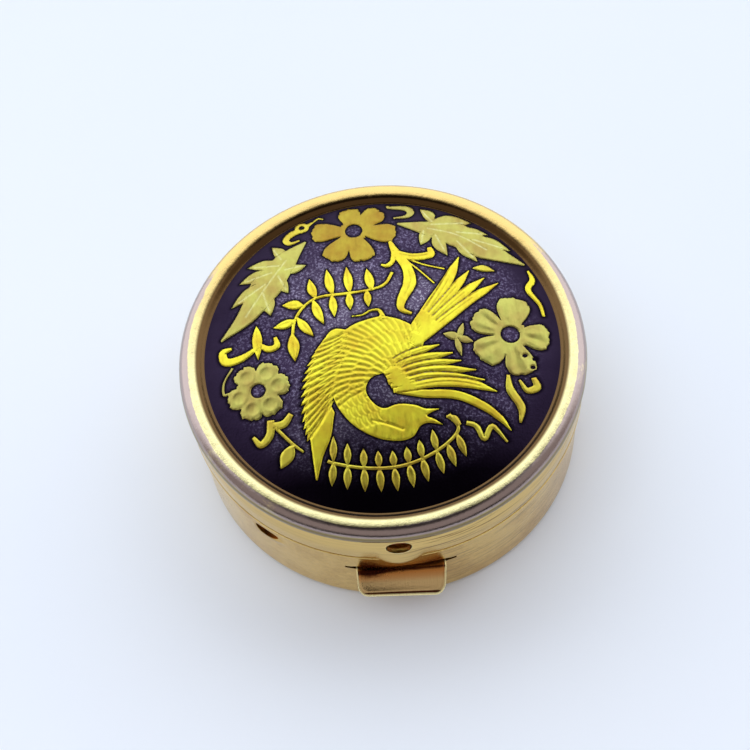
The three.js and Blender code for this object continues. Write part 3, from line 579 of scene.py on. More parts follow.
def tongue_shape(vertices):
    """The scalloped tongue: near the front the skirt's edge drops and flares over the base."""
    vertices = vertices.copy()
    radius = np.hypot(vertices[:, 0], vertices[:, 1])
    across = np.clip(vertices[:, 0] / 2.3, -1, 1)
    front = (vertices[:, 1] < 0) & (vertices[:, 2] < 12.4)
    scallop = np.cos(across * np.pi / 2) ** 0.75 * (PARTING_Z - TONGUE_TIP)
    low = np.clip((12.4 - vertices[:, 2]) / (12.4 - PARTING_Z), 0, 1)
    drop = np.where(front, scallop * low**1.6, 0)
    flare = np.where(front, 0.3 * np.cos(across * np.pi / 2) * low**0.8, 0)
    vertices[:, 2] -= drop
    vertices[:, :2] *= (1 + flare / radius)[:, None]
    return vertices


def lid_bezel():
    dense = ((-12, 12, 0.25),)
    vertices, faces, uv = turned(bezel_profile(), azimuth_steps(1.25, dense), True)
    vertices = tongue_shape(vertices)
    piece = make_object("case_lid", vertices, faces, "bead", "lid", "gilt_brass", ["lid_bezel"], uv)
    radius = np.hypot(vertices[:, 0], vertices[:, 1])
    front = -vertices[:, 1] / radius
    height = vertices[:, 2]
    outer = fade(radius, 18.85, 0.3) * fade(height, 15.18, 0.12)
    set_values(piece, "wear_and_shade", outer * fade(front, -0.75, 0.35) * 0.6)
    # Painted reflection and painted shade: the bead's inner slope goes brown where it would reflect
    # the dark disc, and the band under the bead goes brown where its shadow falls.
    slope = fade(radius, 18.4, -0.25) * (height > 15.3)
    under_bead_shadow = fade(height, 15.34, -0.14) * fade(height, 13.7, 0.15) * (radius > 19)
    skirt = fade(height, 13.9, -0.4)
    # Painted light: the back of the bead and the skirt take the deeper gold while the front of the
    # bead keeps the paler colour, copying how the light falls on the ring.
    set_values(piece, "deep", np.maximum(fade(front, 0.1, -0.7), skirt))
    set_values(piece, "painted_shade", np.maximum(slope * 0.97, under_bead_shadow * 0.8))
    side = np.degrees(np.arctan2(vertices[:, 0], -vertices[:, 1]))
    set_values(piece, "scored", skirt * fade(side, -12, 25, 0.15) * fade(side, 80, -20, 0.15))
    weld(piece)
    hole = arc((0, CATCH_Z), 1.23, 0.82, 0, 354, 59)
    return cut_away(piece, [prism(hole, "y", -BEAD_R - 1, -BEAD_R + 2)])


def lid_pan():
    rim, knee = PAN_HIGH.x, PAN_HIGH.x - 0.3
    drop = 0.55
    radii = np.linspace(0, DISC_R - 0.2, 14)
    top = np.stack([radii, dome(radii, 0) - drop], 1)
    under = np.stack([radii, dome(radii, 0) - drop - 0.3], 1)
    edge = [[knee - 0.3, 14.6], [knee, 14.42], [rim - 0.08, 14.15], [rim, 13.85],
            [rim, PAN_LOW.z + 0.1], [rim - 0.15, PAN_LOW.z], [rim - 0.3, PAN_LOW.z + 0.1],
            [rim - 0.3, 13.8], [rim - 0.6, 14.25]]
    profile = np.vstack([top, edge, under[::-1]])
    vertices, faces, uv = turned(profile, azimuth_steps(1.5), False)
    return weld(make_object("inner_pan", vertices, faces, "inside", "lid", "gilt_brass",
                            ["lid_pan"], uv))


# ------------------------------------------------------------------ outlines on the lid's face


def blade(start, end, width, bend=0.0, steps=9, belly=0.9):
    """A pointed leaf between two points, with its middle pushed sideways by bend."""
    start, end = np.array(start, float), np.array(end, float)
    along = end - start
    side = np.array([-along[1], along[0]]) / np.hypot(*along)
    t = np.linspace(0, 1, steps + 1)[:, None]
    centre = start + along * t + side * bend * np.sin(np.pi * t)
    half = 0.5 * width * np.sin(np.pi * t**belly)
    return np.vstack([centre - side * half, (centre + side * half)[-2:0:-1]])


def ribbon(points, widths, steps=6):
    """A band along a smooth curve, with its width given along the curve."""
    centre = smooth_line(points, steps)
    along = np.gradient(centre, axis=0)
    along /= np.hypot(along[:, :1], along[:, 1:])
    side = np.stack([-along[:, 1], along[:, 0]], 1)
    t = np.linspace(0, 1, len(centre))
    half = 0.5 * np.interp(t, np.linspace(0, 1, len(widths)), widths)[:, None]
    return np.vstack([centre - side * half, (centre + side * half)[::-1]])


def flower(centre, waist, petals, count=200):
    """A flower's outline: each petal is (direction, length, half its angle), in degrees."""
    turn = np.arange(count) / count * 360
    reach = np.full(count, float(waist))
    for direction, length, half in petals:
        off = np.abs((turn - direction + 180) % 360 - 180) / half
        reach = np.maximum(reach, length * np.clip(1 - off**4, 0, 1) ** 0.42)
    turn = np.radians(turn)
    return np.stack([centre[0] + reach * np.cos(turn), centre[1] + reach * np.sin(turn)], 1)


def inside(points, outline):
    """Which points lie inside a closed outline."""
    x, y = points[:, 0], points[:, 1]
    found = np.zeros(len(points), bool)
    for (x0, y0), (x1, y1) in zip(outline, np.roll(outline, -1, 0)):
        if y0 != y1:
            cross = (y0 > y) != (y1 > y)
            found ^= cross & (x < (x1 - x0) * (y - y0) / (y1 - y0) + x0)
    return found


def distance_to(points, starts, ends):
    """Each point's distance to the nearest of the segments."""
    best = np.full(len(points), 1e9)
    for a, b in zip(starts, ends):
        near = np.abs(points - (a + b) / 2).max(1) < np.abs(b - a).max() / 2 + 1.2
        if not near.any():
            continue
        p = points[near]
        line = b - a
        t = np.clip(((p - a) @ line) / max(line @ line, 1e-12), 0, 1)
        best[near] = np.minimum(best[near], np.hypot(*(p - a - t[:, None] * line).T))
    return best


FOIL_RISE = 0.07               # how far a foil stands above the disc
FOIL_SUNK = 0.04               # how far its underside lies below the disc's face
FOIL_ROUND = 0.14              # width of its rounded edge
FOIL_GRID = 0.13               # spacing of its points
THIN_LINE = 0.2                # grooves narrower than this take the graver's colour
foil_edges = []                # the edges of each foil, for the disc


def outer_edges(outlines, holes):
    """The segments of the outlines that no other outline covers, and those of the holes."""
    starts, ends = [], []
    for i, outline in enumerate(outlines):
        a, b = outline, np.roll(outline, -1, 0)
        keep = np.ones(len(a), bool)
        for j, other in enumerate(outlines):
            if i != j:
                keep &= ~inside((a + b) / 2, other)
        starts.append(a[keep])
        ends.append(b[keep])
    for hole in holes:
        starts.append(hole)
        ends.append(np.roll(hole, -1, 0))
    return np.vstack(starts), np.vstack(ends)


def foil(name, finish, outlines, holes=(), grooves=(), relief=None, grid_step=FOIL_GRID):
    """One gold inlay: a closed sheet on the dome with a rounded edge and engraved grooves.
    Each groove is (points, half width, depth); relief adds a height at each point."""
    outlines = [turn_z(outline, PATTERN_TURN) for outline in outlines]
    holes = [turn_z(hole, PATTERN_TURN) for hole in holes]
    starts, ends = outer_edges(outlines, holes)
    foil_edges.append((starts, ends))
    flat, triangles = foil_plan(outlines, holes, starts, ends, grid_step)
    away = distance_to(flat, starts, ends)
    carved, cut = engrave(flat, grooves)
    rise = FOIL_RISE * np.sqrt(1 - (1 - np.clip(away / FOIL_ROUND, 0, 1)) ** 2)
    if relief is not None:
        rise = rise + relief(turn_z(flat, -PATTERN_TURN)) * np.clip(away / 0.3, 0, 1)
    rise = np.where(away < 1e-4, 0.015, np.maximum(rise - carved, -0.01))
    surface = dome(flat[:, 0], flat[:, 1])
    vertices = np.vstack([np.column_stack([flat, surface + rise]),
                          np.column_stack([flat, surface - FOIL_SUNK])])
    count = len(flat)
    faces = triangles.tolist() + (triangles[:, ::-1] + count).tolist()
    faces += side_faces(triangles, count)
    piece = make_object("foil_" + name, vertices, faces, finish, "lid",
                        "gold_" + finish.replace("soft", "warm"), ["inlay_" + name], sharp=60)
    set_values(piece, "cut", np.clip(np.concatenate([cut, cut]) / 0.05, 0, 1))
    return piece


def foil_plan(outlines, holes, starts, ends, step):
    """The foil seen from above: its points, and triangles between them."""
    rings = outlines + holes
    edges = []
    base = 0
    for ring in rings:
        edges += [(base + k, base + (k + 1) % len(ring)) for k in range(len(ring))]
        base += len(ring)
    points = np.vstack(rings)
    low, high = points.min(0), points.max(0)
    columns, rows = np.arange(low[0], high[0], step), np.arange(low[1], high[1], step * 0.87)
    grid = np.stack(np.meshgrid(columns, rows), 2)
    grid[1::2, :, 0] += step / 2
    grid = grid.reshape(-1, 2)
    grid = grid[covered(grid, outlines, holes)]
    grid = grid[distance_to(grid, starts, ends) > step * 0.5]
    result = delaunay_2d_cdt([Vector(p) for p in np.vstack([points, grid])], edges, [], 0, 1e-5)
    flat = np.array([tuple(v) for v in result[0]])
    triangles = np.array([face for face in result[2] if len(face) == 3])
    triangles = triangles[covered(flat[triangles].mean(1), outlines, holes)]
    used, triangles = np.unique(triangles, return_inverse=True)
    return flat[used], triangles.reshape(-1, 3)


def engrave(flat, grooves):
    """The depth of all grooves at each point, and of the thin ones alone."""
    carved = np.zeros(len(flat))
    cut = np.zeros(len(flat))
    for path, half, depth in grooves:
        path = smooth_line(path, 5) if len(path) > 2 else line_points(path)
        line = turn_z(path, PATTERN_TURN)
        groove = depth * np.clip(1 - distance_to(flat, line[:-1], line[1:]) / half, 0, 1)
        carved = np.maximum(carved, groove)
        if half < THIN_LINE:
            cut = np.maximum(cut, groove)
    return carved, cut


def line_points(points, step=0.15):
    a, b = np.asarray(points, float)
    count = max(int(np.hypot(*(b - a)) / step), 2)
    return a + (b - a) * np.linspace(0, 1, count)[:, None]


def covered(points, outlines, holes):
    found = np.zeros(len(points), bool)
    for outline in outlines:
        found |= inside(points, outline)
    for hole in holes:
        found &= ~inside(points, hole)
    return found


def side_faces(triangles, count):
    """Walls between the boundary of the upper sheet and the lower one."""
    seen = {}
    for a, b, c in triangles.tolist():
        for edge in ((a, b), (b, c), (c, a)):
            seen[edge] = True
    return [[b, a, a + count, b + count] for a, b in seen if (b, a) not in seen]


# ---------------------------------------------------------------------------------- the motifs


def flowers():
    top = [(97, 3.2, 33), (41, 3.8, 29), (-13, 4.3, 27), (-79, 4.2, 27), (-128, 4.4, 26),
           (174, 4.3, 27)]
    right = [(77, 4.3, 35), (146, 4, 34), (217, 4.1, 36), (-80, 4.5, 30), (-8, 3.8, 36)]
    left = [(turn, 3.05, 34) for turn in (8, 63, 123, 192, 250, 303)]
    kinds = (("flower_top", "warm", (-1.5, 13.9), 1.5, top, 0.9),
             ("flower_right", "pale", (12.6, -0.4), 1.7, right, 0.95),
             ("flower_left", "pale", (-12.2, -3.6), 2.2, left, 0.75))
    for name, finish, centre, waist, petals, eye in kinds:
        lines = []
        relief = None
        if name == "flower_left":
            relief = dimple_relief(centre, [p[0] for p in petals])
        elif name == "flower_right":
            relief = petal_relief(centre, petals)
        else:
            for direction, length, _ in petals:
                for spread in (-8, 8):
                    turn = math.radians(direction + spread)
                    lines.append((radial(centre, turn, eye + 0.5, length * 0.6), 0.07, 0.01))
        outline = flower(centre, waist, petals)
        outline = ripple(outline, centre, 0.05)
        holes = [arc(centre, eye, eye, 0, 350, 35)]
        if name == "flower_right":
            pricks = ((13.7, -2.8), (14.6, -3.2), (14.3, -4.1))
            holes += [arc(at, 0.26, 0.2, 0, 320, 8) for at in pricks]
        foil(name, finish, [outline], holes, lines, relief)


def ripple(outline, centre, size):
    """A hand-cut edge: small uneven waves round the outline."""
    away = outline - np.array(centre)
    turn = np.arctan2(away[:, 1], away[:, 0])
    wave = np.sin(turn * 23 + 1) + 0.7 * np.sin(turn * 41 + 2) + 0.5 * np.sin(turn * 61)
    return outline + away / np.hypot(*away.T)[:, None] * (size * wave)[:, None]


def petal_relief(centre, petals):
    """Curved ridges pressed along each petal."""
    def relief(points):
        away = points - np.array(centre)
        reach = np.hypot(*away.T)
        turn = np.degrees(np.arctan2(away[:, 1], away[:, 0]))
        height = np.zeros(len(points))
        for direction, length, half in petals:
            off = (turn - direction + 180) % 360 - 180
            off = off / half + 0.12 * (reach / length) ** 2
            ridges = (np.exp(-((off - 0.3) / 0.2) ** 2) - 0.8 * np.exp(-((off + 0.15) / 0.16) ** 2)
                      + 0.6 * np.exp(-((off + 0.5) / 0.15) ** 2))
            height += 0.06 * fade(reach, 1.4, 0.6) * fade(reach, length, -0.8) * ridges
        return height
    return relief


def radial(centre, turn, near, far):
    return [np.array(centre) + heading(turn) * near, np.array(centre) + heading(turn) * far]


def dimple_relief(centre, directions):
    """Round dimples pressed into the petals by a ball punch."""
    def relief(points):
        height = np.zeros(len(points))
        for direction in directions:
            at = np.array(centre) + 1.95 * heading(math.radians(direction))
            off = np.hypot(*(points - at).T) / 0.62
            height += np.where(off < 1, -0.05 * (1 - off**2), 0)
            height += 0.02 * np.exp(-((off - 1.15) / 0.25) ** 2)
        return height
    return relief


def leaf(name, rib, rib_widths, blades):
    """A serrated leaf: a broad rib, side blades, and a vein cut along each of them."""
    outlines = [ribbon(rib, rib_widths)]
    veins = [(rib[1:-1], 0.12, 0.035)]
    for start, end, width, bend in blades:
        outlines.append(blade(start, end, width, bend))
        start, end = np.array(start), np.array(end)
        veins.append(([start * 0.9 + end * 0.1, start * 0.2 + end * 0.8], 0.12, 0.04))
    foil(name, "pale", outlines, (), veins)


def leaves():
    leaf("leaf_left", [(-6.5, 13.3), (-8.6, 11.2), (-10.8, 8.2), (-13, 5), (-15.6, 2.7)],
         [0.2, 2.4, 3.4, 2, 0.2], [
             ((-9, 11.2), (-10, 13.3), 1.2, -0.3), ((-9, 10.6), (-12.6, 11.1), 1.3, -0.2),
             ((-9.8, 10), (-13.5, 9.2), 1.4, -0.15), ((-10.5, 8.8), (-14.4, 6.4), 1.4, -0.2),
             ((-9, 10), (-6.6, 10.2), 1.1, -0.2), ((-9.6, 9.6), (-8.6, 7), 1.3, -0.15),
             ((-11.2, 7.8), (-10.5, 4.6), 1.5, 0.1)])
    leaf("leaf_right", [(3, 14.3), (6, 13.3), (8.8, 12.2), (11.6, 10), (15.2, 7.9)],
         [0.2, 2, 3.2, 2.6, 0.2], [
             ((6.6, 14), (5.5, 16.1), 1.2, -0.3), ((6, 13.8), (10.5, 13.7), 2, 0.2),
             ((8.5, 12.6), (12, 12), 1.2, 0.2), ((10, 11.6), (14, 9.8), 1.6, 0.1),
             ((5.6, 13.2), (5.1, 11.1), 1.2, 0.25), ((6.6, 12.6), (7.6, 9.5), 1.3, -0.15),
             ((8.6, 11.6), (10.5, 8.5), 1.2, -0.1)])


def fern(name, finish, stem_points, leaflets):
    outlines = [ribbon(stem_points, [0.3, 0.3])]
    creases = []
    for start, end, width, bend in leaflets:
        outlines.append(blade(start, end, width, bend))
        start, end = np.array(start, float), np.array(end, float)
        creases.append(([start * 0.65 + end * 0.35, start * 0.12 + end * 0.88], 0.12, 0.03))
    if name == "fern_lower":
        outlines.append(ribbon([(6.5, -9.7), (6.1, -9), (5.4, -8.7)], [0.5, 0.7, 0.2]))
    foil(name, finish, outlines, (), creases)


def ferns():
    fern("fern_upper", "bright",
         [(1.9, 7.9), (1, 6.5), (-0.6, 6), (-3, 5.9), (-5.6, 5.9), (-7.2, 5), (-8.2, 3.4),
          (-8.5, 1.6)], [
             ((-0.3, 5.9), (-0.6, 8.7), 0.9, 0), ((-2.5, 5.9), (-2.6, 9.2), 0.9, 0),
             ((-4.2, 5.9), (-4.6, 9.2), 0.9, 0.05), ((-5.9, 5.8), (-6.4, 8.3), 0.9, 0.1),
             ((-0.8, 6), (-0.8, 4), 0.75, 0), ((-2.6, 6), (-2.6, 3.9), 0.75, 0),
             ((-4.3, 6), (-4.2, 3.3), 0.8, 0), ((-6.2, 5.7), (-5.3, 2.6), 0.9, -0.1),
             ((-7.1, 5.1), (-9.3, 5.6), 1.1, -0.1), ((-8, 3.6), (-10.3, 3.1), 1, 0.1),
             ((-7.9, 3.9), (-6.4, 1.4), 0.9, -0.1), ((-8.5, 2.1), (-8.4, -1.1), 1.15, 0)])
    roots = [(-5.6, -12), (-4.3, -12.5), (-2.8, -12.9), (-1.4, -13.1), (0, -13.2), (1.4, -13),
             (2.7, -12.6), (4.1, -12)]
    above = [((x, y), (x * 0.96, y + 1.6 + 0.03 * x * x), 0.7, 0) for x, y in roots]
    more = [*roots, (5.2, -11.4), (6.2, -10.5)]
    below = [((x, y), (x * 1.08 + 0.1, y - 2.3), 0.75, 0) for x, y in more]
    fern("fern_lower", "soft",
         [(-6.1, -11.8), (-5.6, -12.1), (-3, -12.9), (0, -13.2), (2.6, -12.7), (5, -11.5),
          (6.4, -10), (5.7, -8.5)], above + below)


def curve_point(points, t):
    line = smooth_line(points, 12)
    at = t * (len(line) - 1)
    low = min(int(at), len(line) - 2)
    return line[low] + (line[low + 1] - line[low]) * (at - low)


def bird():
    """A long-tailed bird that bends its head back under its wing."""
    body = np.vstack([
        smooth_line([(3.9, -1.4), (4.2, 0), (3.2, 1.3), (1.9, 2.2), (0.4, 2.7), (-1.2, 2.5),
                     (-2.7, 2), (-4, 1), (-4.8, -0.4), (-5.4, -2.2), (-5.5, -3.6), (-5.2, -4.8),
                     (-4.6, -6.8), (-3.2, -8.8), (-1.2, -10.2), (0.8, -10.7), (2.1, -10.4),
                     (2.8, -9.5), (3.6, -9.2), (5, -9.5)], 6),
        smooth_line([(4.9, -9.4), (4.3, -8.9), (3.6, -8.5), (4, -8.2), (4.8, -7.9)], 5),
        smooth_line([(4.7, -7.85), (3.6, -7.75), (2.6, -7.3), (1, -7), (-0.4, -7.3), (-1.4, -6.5),
                     (-1.9, -5.2), (-1.3, -4), (0, -3.6), (1.2, -3.4), (3, -2.4), (3.7, -1.7)], 6)])
    eye = ([(-1.5, -8.4), (-0.2, -8.9), (1.2, -9.6)], 0.2, 0.07)
    outlines, grooves = [body], [eye, *plumage()]
    for part in (left_wing, right_wing, tail):
        more_outlines, more_grooves = part()
        outlines += more_outlines
        grooves += more_grooves
    crest = ribbon([(-2.5, 3.1), (-1.5, 3.1), (-0.7, 3.5), (0.1, 3.5), (0.4, 3), (0.4, 2.3)],
                   [0.12, 0.18, 0.22, 0.3, 0.4, 0.8])
    foil("bird", "bright", [*outlines, crest], (), grooves, None, 0.1)


def left_wing():
    """Feathers side by side, each with a groove after it, and a long one that hangs down."""
    outlines, grooves = [], []
    roots = [(-3.5, 1.4), (-3.8, 0.2), (-4.3, -1.6), (-4.8, -3.4), (-5.3, -5), (-5.6, -6.6)]
    tips = [(-5.4, 0.8), (-6.8, -0.9), (-7.8, -3.1), (-8.2, -5.4), (-8.2, -7.8), (-7.9, -9.6)]
    feathers = 15
    for k in range(feathers):
        t = k / (feathers - 1)
        root, tip = curve_point(roots, t), curve_point(tips, t)
        outlines.append(blade(root * 1.25 - tip * 0.25, tip, 1.15, -0.15, 12, 1.1))
        after = min(t + 0.5 / feathers, 1)
        start, end = curve_point(roots, after), curve_point(tips, after)
        path = [start, (start + end) / 2 + (0.05, -0.12), end]
        grooves += [(path, 0.3, 0.05), (path, 0.1, 0.07)]
    drop = [(-6.4, -5), (-6.5, -7), (-6.6, -9.2), (-7, -11.2), (-7.3, -13.5)]
    outlines.append(ribbon(drop, [1, 2.9, 2.1, 1, 0.15], 8))
    return outlines, grooves


def right_wing():
    """Fanned feathers, each with a groove above it and a fine line down it."""
    outlines, grooves = [], []
    fan = [([(0, -3.2), (2.2, -2), (5.6, -1.1)], 1), ([(0, -3.7), (2.8, -2.6), (6.8, -2.1)], 1.1),
           ([(0.2, -4.2), (3.4, -3.2), (7.5, -3)], 1), ([(0.3, -4.7), (4, -3.8), (8.8, -4.1)], 1.1),
           ([(0.5, -5.1), (4.4, -4.4), (9.5, -5.2)], 1),
           ([(0.7, -5.6), (5, -5.1), (8, -5.5), (10.5, -6.5)], 1.1)]
    for path, width in fan:
        outlines.append(ribbon(path, [0.5, 0.8 * width, width, 0.95 * width, 0.7 * width, 0.1], 8))
        line = smooth_line(path, 8)
        inner = line[4:int(len(line) * 0.86)][::3]
        above = inner + (0, 0.42 * width)
        grooves += [(above, 0.14, 0.09), (above, 0.3, 0.05), (inner - (0, 0.02), 0.09, 0.03)]
    longest = [(1, -5.7), (3.6, -6.2), (6.6, -6.6), (9, -7.9), (10.5, -9.3), (11.3, -10.5)]
    outlines.append(ribbon(longest, [0.4, 0.85, 0.9, 0.85, 0.6, 0.1], 8))
    grooves.append((smooth_line([(1, -5.9), (4.6, -5.75), (8, -6.1), (9.6, -6.7)], 3), 0.1, 0.08))
    return outlines, grooves


def tail():
    outlines, grooves = [], []
    feathers = [([(2.6, -0.2), (5.2, 3.2), (7.3, 6.4), (8.7, 9.2)], 1.15),
                ([(2.8, -0.4), (5.6, 2.8), (7.9, 5.4), (9.5, 7.4)], 1.0),
                ([(3, -0.6), (6, 2.3), (8.7, 4.7), (10.9, 6.4)], 1.05),
                ([(3.1, -0.9), (6.3, 1.7), (9.4, 4), (12.2, 5.7)], 1.05)]
    for path, width in feathers:
        outlines.append(ribbon(path, [0.9, 1.15 * width, 1.2 * width, width, 0.8 * width, 0.1], 8))
        line = smooth_line(path, 8)[7:]
        beside = line[:-4:3] + np.array([-0.75, 0.66]) * 0.4 * width
        grooves += [(beside, 0.14, 0.09), (beside, 0.3, 0.05), (line[:-6:3], 0.1, 0.035)]
    return outlines, grooves


def plumage():
    """Short curved graver strokes in overlapping rows over the back and down the neck."""
    strokes = []
    centre = np.array([1.2, -5.2])
    for row, (near, far) in enumerate(((6.2, 7.5), (4.8, 6), (3.4, 4.6), (2.2, 3.2))):
        step = 0.62 / (near + 0.6)
        start, end = math.radians(66), math.radians(196)
        for k in range(int((end - start) / step)):
            turn = start + (k + 0.5 * (row % 2)) * step
            inner = centre + near * heading(turn)
            outer = centre + far * heading(turn + 0.1)
            path = [inner, (inner + outer) / 2 + (0.06, 0.02), outer]
            strokes += [(path, 0.3, 0.06), (path, 0.09, 0.022)]
    for row in range(4):
        for k in range(6):
            x = -4.7 + 0.55 * k + 0.35 * row
            y = -4.9 - 1.1 * row + 0.12 * k
            path = [(x, y), (x + 0.12, y - 0.5), (x + 0.42, y - 0.95)]
            strokes += [(path, 0.26, 0.05), (path, 0.08, 0.018)]
    return strokes


def scrolls():
    foil("scroll_top", "pale", [ribbon([(2.3, 17), (2.4, 16.7), (4, 16.4), (4.5, 15.8), (4, 15.2),
                                        (2.7, 15.1)], [0.3, 0.4, 0.7, 0.8, 0.5, 0.2])])
    foil("scroll_top_left", "soft", [
        ribbon([(-4.5, 16.1), (-5, 16.3), (-5.6, 15.9), (-6.2, 15.5)], [0.15, 0.2, 0.2, 0.5]),
        arc((-6.8, 15.3), 0.75, 0.7, 0, 345, 23),
        ribbon([(-6.9, 14.9), (-7.8, 14.7), (-8.5, 14), (-8.1, 13.4), (-7.1, 13.6)],
               [0.6, 0.8, 0.7, 0.5, 0.15])], [arc((-6.8, 15.35), 0.3, 0.26, 0, 330, 11)])
    foil("lily", "bright", [
        ribbon([(2, 12), (2.5, 10.4), (3.4, 8.4), (3.5, 6.4), (2.5, 4.4), (2.4, 3.3), (3.3, 2.7)],
               [0.3, 0.9, 1, 1.3, 0.9, 0.6, 0.3]),
        ribbon([(2.5, 10.4), (4.2, 9.6), (5.9, 9.8), (5.9, 10.7)], [0.6, 0.9, 0.9, 0.4]),
        ribbon([(2.3, 10.6), (2.1, 9.4), (1.5, 8.8), (0.9, 9)], [0.5, 0.5, 0.5, 0.2]),
        ribbon([(3.4, 9.2), (4.4, 8.1), (5.9, 6.1)], [0.2, 0.16, 0.14]),
        ribbon([(3.6, 9.4), (5.2, 8.5), (7.1, 7.8)], [0.2, 0.16, 0.14]),
    ], (), [([(2.9, 10.1), (4.3, 9.7), (5.6, 9.8)], 0.14, 0.04),
            ([(3.5, 8), (3.6, 6.6), (2.8, 4.8)], 0.12, 0.03)])
    foil("fleur_left", "bright", [
        blade((-12, 3.7), (-12, -0.2), 1),
        ribbon([(-11.8, 1.3), (-13.6, 0.3), (-15.2, 0.2), (-15.5, 1.3), (-14.6, 1.6)],
               [0.3, 0.8, 0.9, 0.8, 0.3]),
        ribbon([(-12, 1.7), (-11, 0.8), (-10.1, 1), (-10.2, 2)], [0.3, 0.7, 0.7, 0.3]),
    ], (), [([(-12, 3), (-12, 0.6)], 0.12, 0.03)])
    foil("tendril_left", "pale", [ribbon([(-14.6, -0.6), (-15.5, -2), (-15.6, -3.3), (-15, -3.3)],
                                         [0.22, 0.22, 0.25, 0.22])])
    foil("fleur_lower_left", "soft", [
        ribbon([(-11.2, -6.9), (-11.4, -8.4), (-12.3, -9.2), (-13, -8.3)], [0.7, 0.8, 0.7, 0.3]),
        ribbon([(-11.3, -7.5), (-10, -7.5), (-9.2, -6.6)], [0.7, 0.8, 0.5]),
        ribbon([(-10.8, -7.7), (-9.4, -9.5), (-8.3, -10.6)], [0.3, 0.3, 0.2]),
        blade((-9.2, -9.7), (-10.6, -11.9), 1.3),
    ])
    foil("small_leaf", "soft", [blade((9.9, 7.7), (12.1, 7.2), 0.8, 0.15)])
    foil("wave_right", "bright", [
        ribbon([(15.4, 7.2), (15.7, 6), (15.1, 4.8), (16, 3), (16.2, 1.6)],
               [0.2, 0.6, 0.6, 0.4, 0.3])])
    foil("sprig", "pale", [
        blade((7.8, -0.5), (6.1, 0.1), 0.9), blade((7.5, -0.7), (8.2, 1.2), 0.6),
        blade((7.4, -0.4), (8.9, -1), 0.8), blade((7.3, -0.3), (7.6, -2.5), 0.6)])
    foil("bar", "soft", [ribbon([(11.8, -4.8), (11.8, -6.4), (12.6, -8.2), (12.3, -9.8)],
                                [0.3, 0.8, 0.8, 0.2])])
    foil("hook", "soft", [ribbon([(12.8, -5.4), (13.4, -6.5), (14.4, -6.2), (14.2, -5.2)],
                                 [0.2, 0.6, 0.8, 0.5])])
    foil("wave_lower", "soft", [ribbon([(7.2, -9.5), (8.1, -9.9), (8.7, -11.2), (9.6, -10),
                                        (10.8, -11.6)], [0.4, 0.5, 0.5, 0.5, 0.2])])


def steel_disc():
    """The domed disc, sunk a little beside the inlays, with the masks its material reads."""
    radii = np.linspace(0, DISC_R, 120)
    top = np.stack([radii, dome(radii, 0)], 1)
    lower = np.stack([radii, dome(radii, 0) - 0.5], 1)[::-8]
    profile = np.vstack([top, lower])
    vertices, faces, uv = turned(profile, azimuth_steps(0.6), False)
    flat = vertices[:, :2]
    upper = vertices[:, 2] > dome(flat[:, 0], flat[:, 1]) - 0.25
    near = np.full(len(vertices), 9.0)
    for starts, ends in foil_edges:
        low = np.minimum(starts, ends).min(0) - 0.7
        high = np.maximum(starts, ends).max(0) + 0.7
        close = upper & (flat > low).all(1) & (flat < high).all(1)
        near[close] = np.minimum(near[close], distance_to(flat[close], starts, ends))
    halo = np.exp(-((near / 0.24) ** 3))
    radius = np.hypot(*flat.T)
    ground = fade(radius, 15.8, -1.6)
    vertices = vertices.copy()
    vertices[:, 2] -= 0.02 * halo
    piece = make_object("face_disc", vertices, faces, "steel", "lid", "black_steel",
                        ["steel_disc"], uv)
    # Painted reflection and painted shade: the front of the face goes nearly black where it would
    # reflect the dim ceiling, and the rim darkens beside the bezel.
    dark = fade(-flat[:, 1], 9, 5) * fade(radius, 11, 4.5) * 0.95
    dark = np.maximum(dark, fade(radius, 13, 4.5) * 0.55)
    # Painted sheen: soft bright patches where the face catches the light.
    lit = np.zeros(len(vertices))
    for x, y, size in ((-4.5, -6.5, 3), (-3.5, 4.6, 4.5), (2, -5.8, 2.5), (4, 5, 3), (-6, -9, 2.5)):
        lit = np.maximum(lit, np.exp(-((flat[:, 0] - x) ** 2 + (flat[:, 1] - y) ** 2) / size**2))
    for name, values in (("halo", halo), ("ground", ground), ("dark", dark), ("lit", lit)):
        set_values(piece, name, values)
    return weld(piece)


# ----------------------------------------------------------------------------------- the latch


def thumb_latch():
    """One strip of spring brass: the upright, its nib, and the thumb tab through the slit."""
    half, outer, thick = 2.5, -18.6, 0.35
    outline = [(-half, LATCH_LOW.z), (half, LATCH_LOW.z), (half, 12.3), (half - 0.45, LATCH_HIGH.z),
               (-half + 0.45, LATCH_HIGH.z), (-half, 12.3)]
    make_object("latch_strip", *prism(outline, "y", outer, outer + thick), "latch", "latch",
                "spring_brass", ["thumb_latch"])
    tab_piece()
    nib = prism([(-18.55, 11.9), (-18.55, 12.85), (-18.65, 12.85), (-19.05, 12.6),
                 (-19.12, 12.4), (-19.1, 11.9)], "x", -1.05, 1.05)
    # The nib's dull dark finish is painted shade.
    piece = make_object("latch_nib", *nib, "rust", "latch", "spring_brass", [])
    bevel(piece, 0.06)


def bevel(piece, width, segments=3):
    change = piece.modifiers.new("round", "BEVEL")
    change.width = width * MM
    change.segments = segments
    change.limit_method = "ANGLE"
    change.angle_limit = math.radians(35)
    return piece


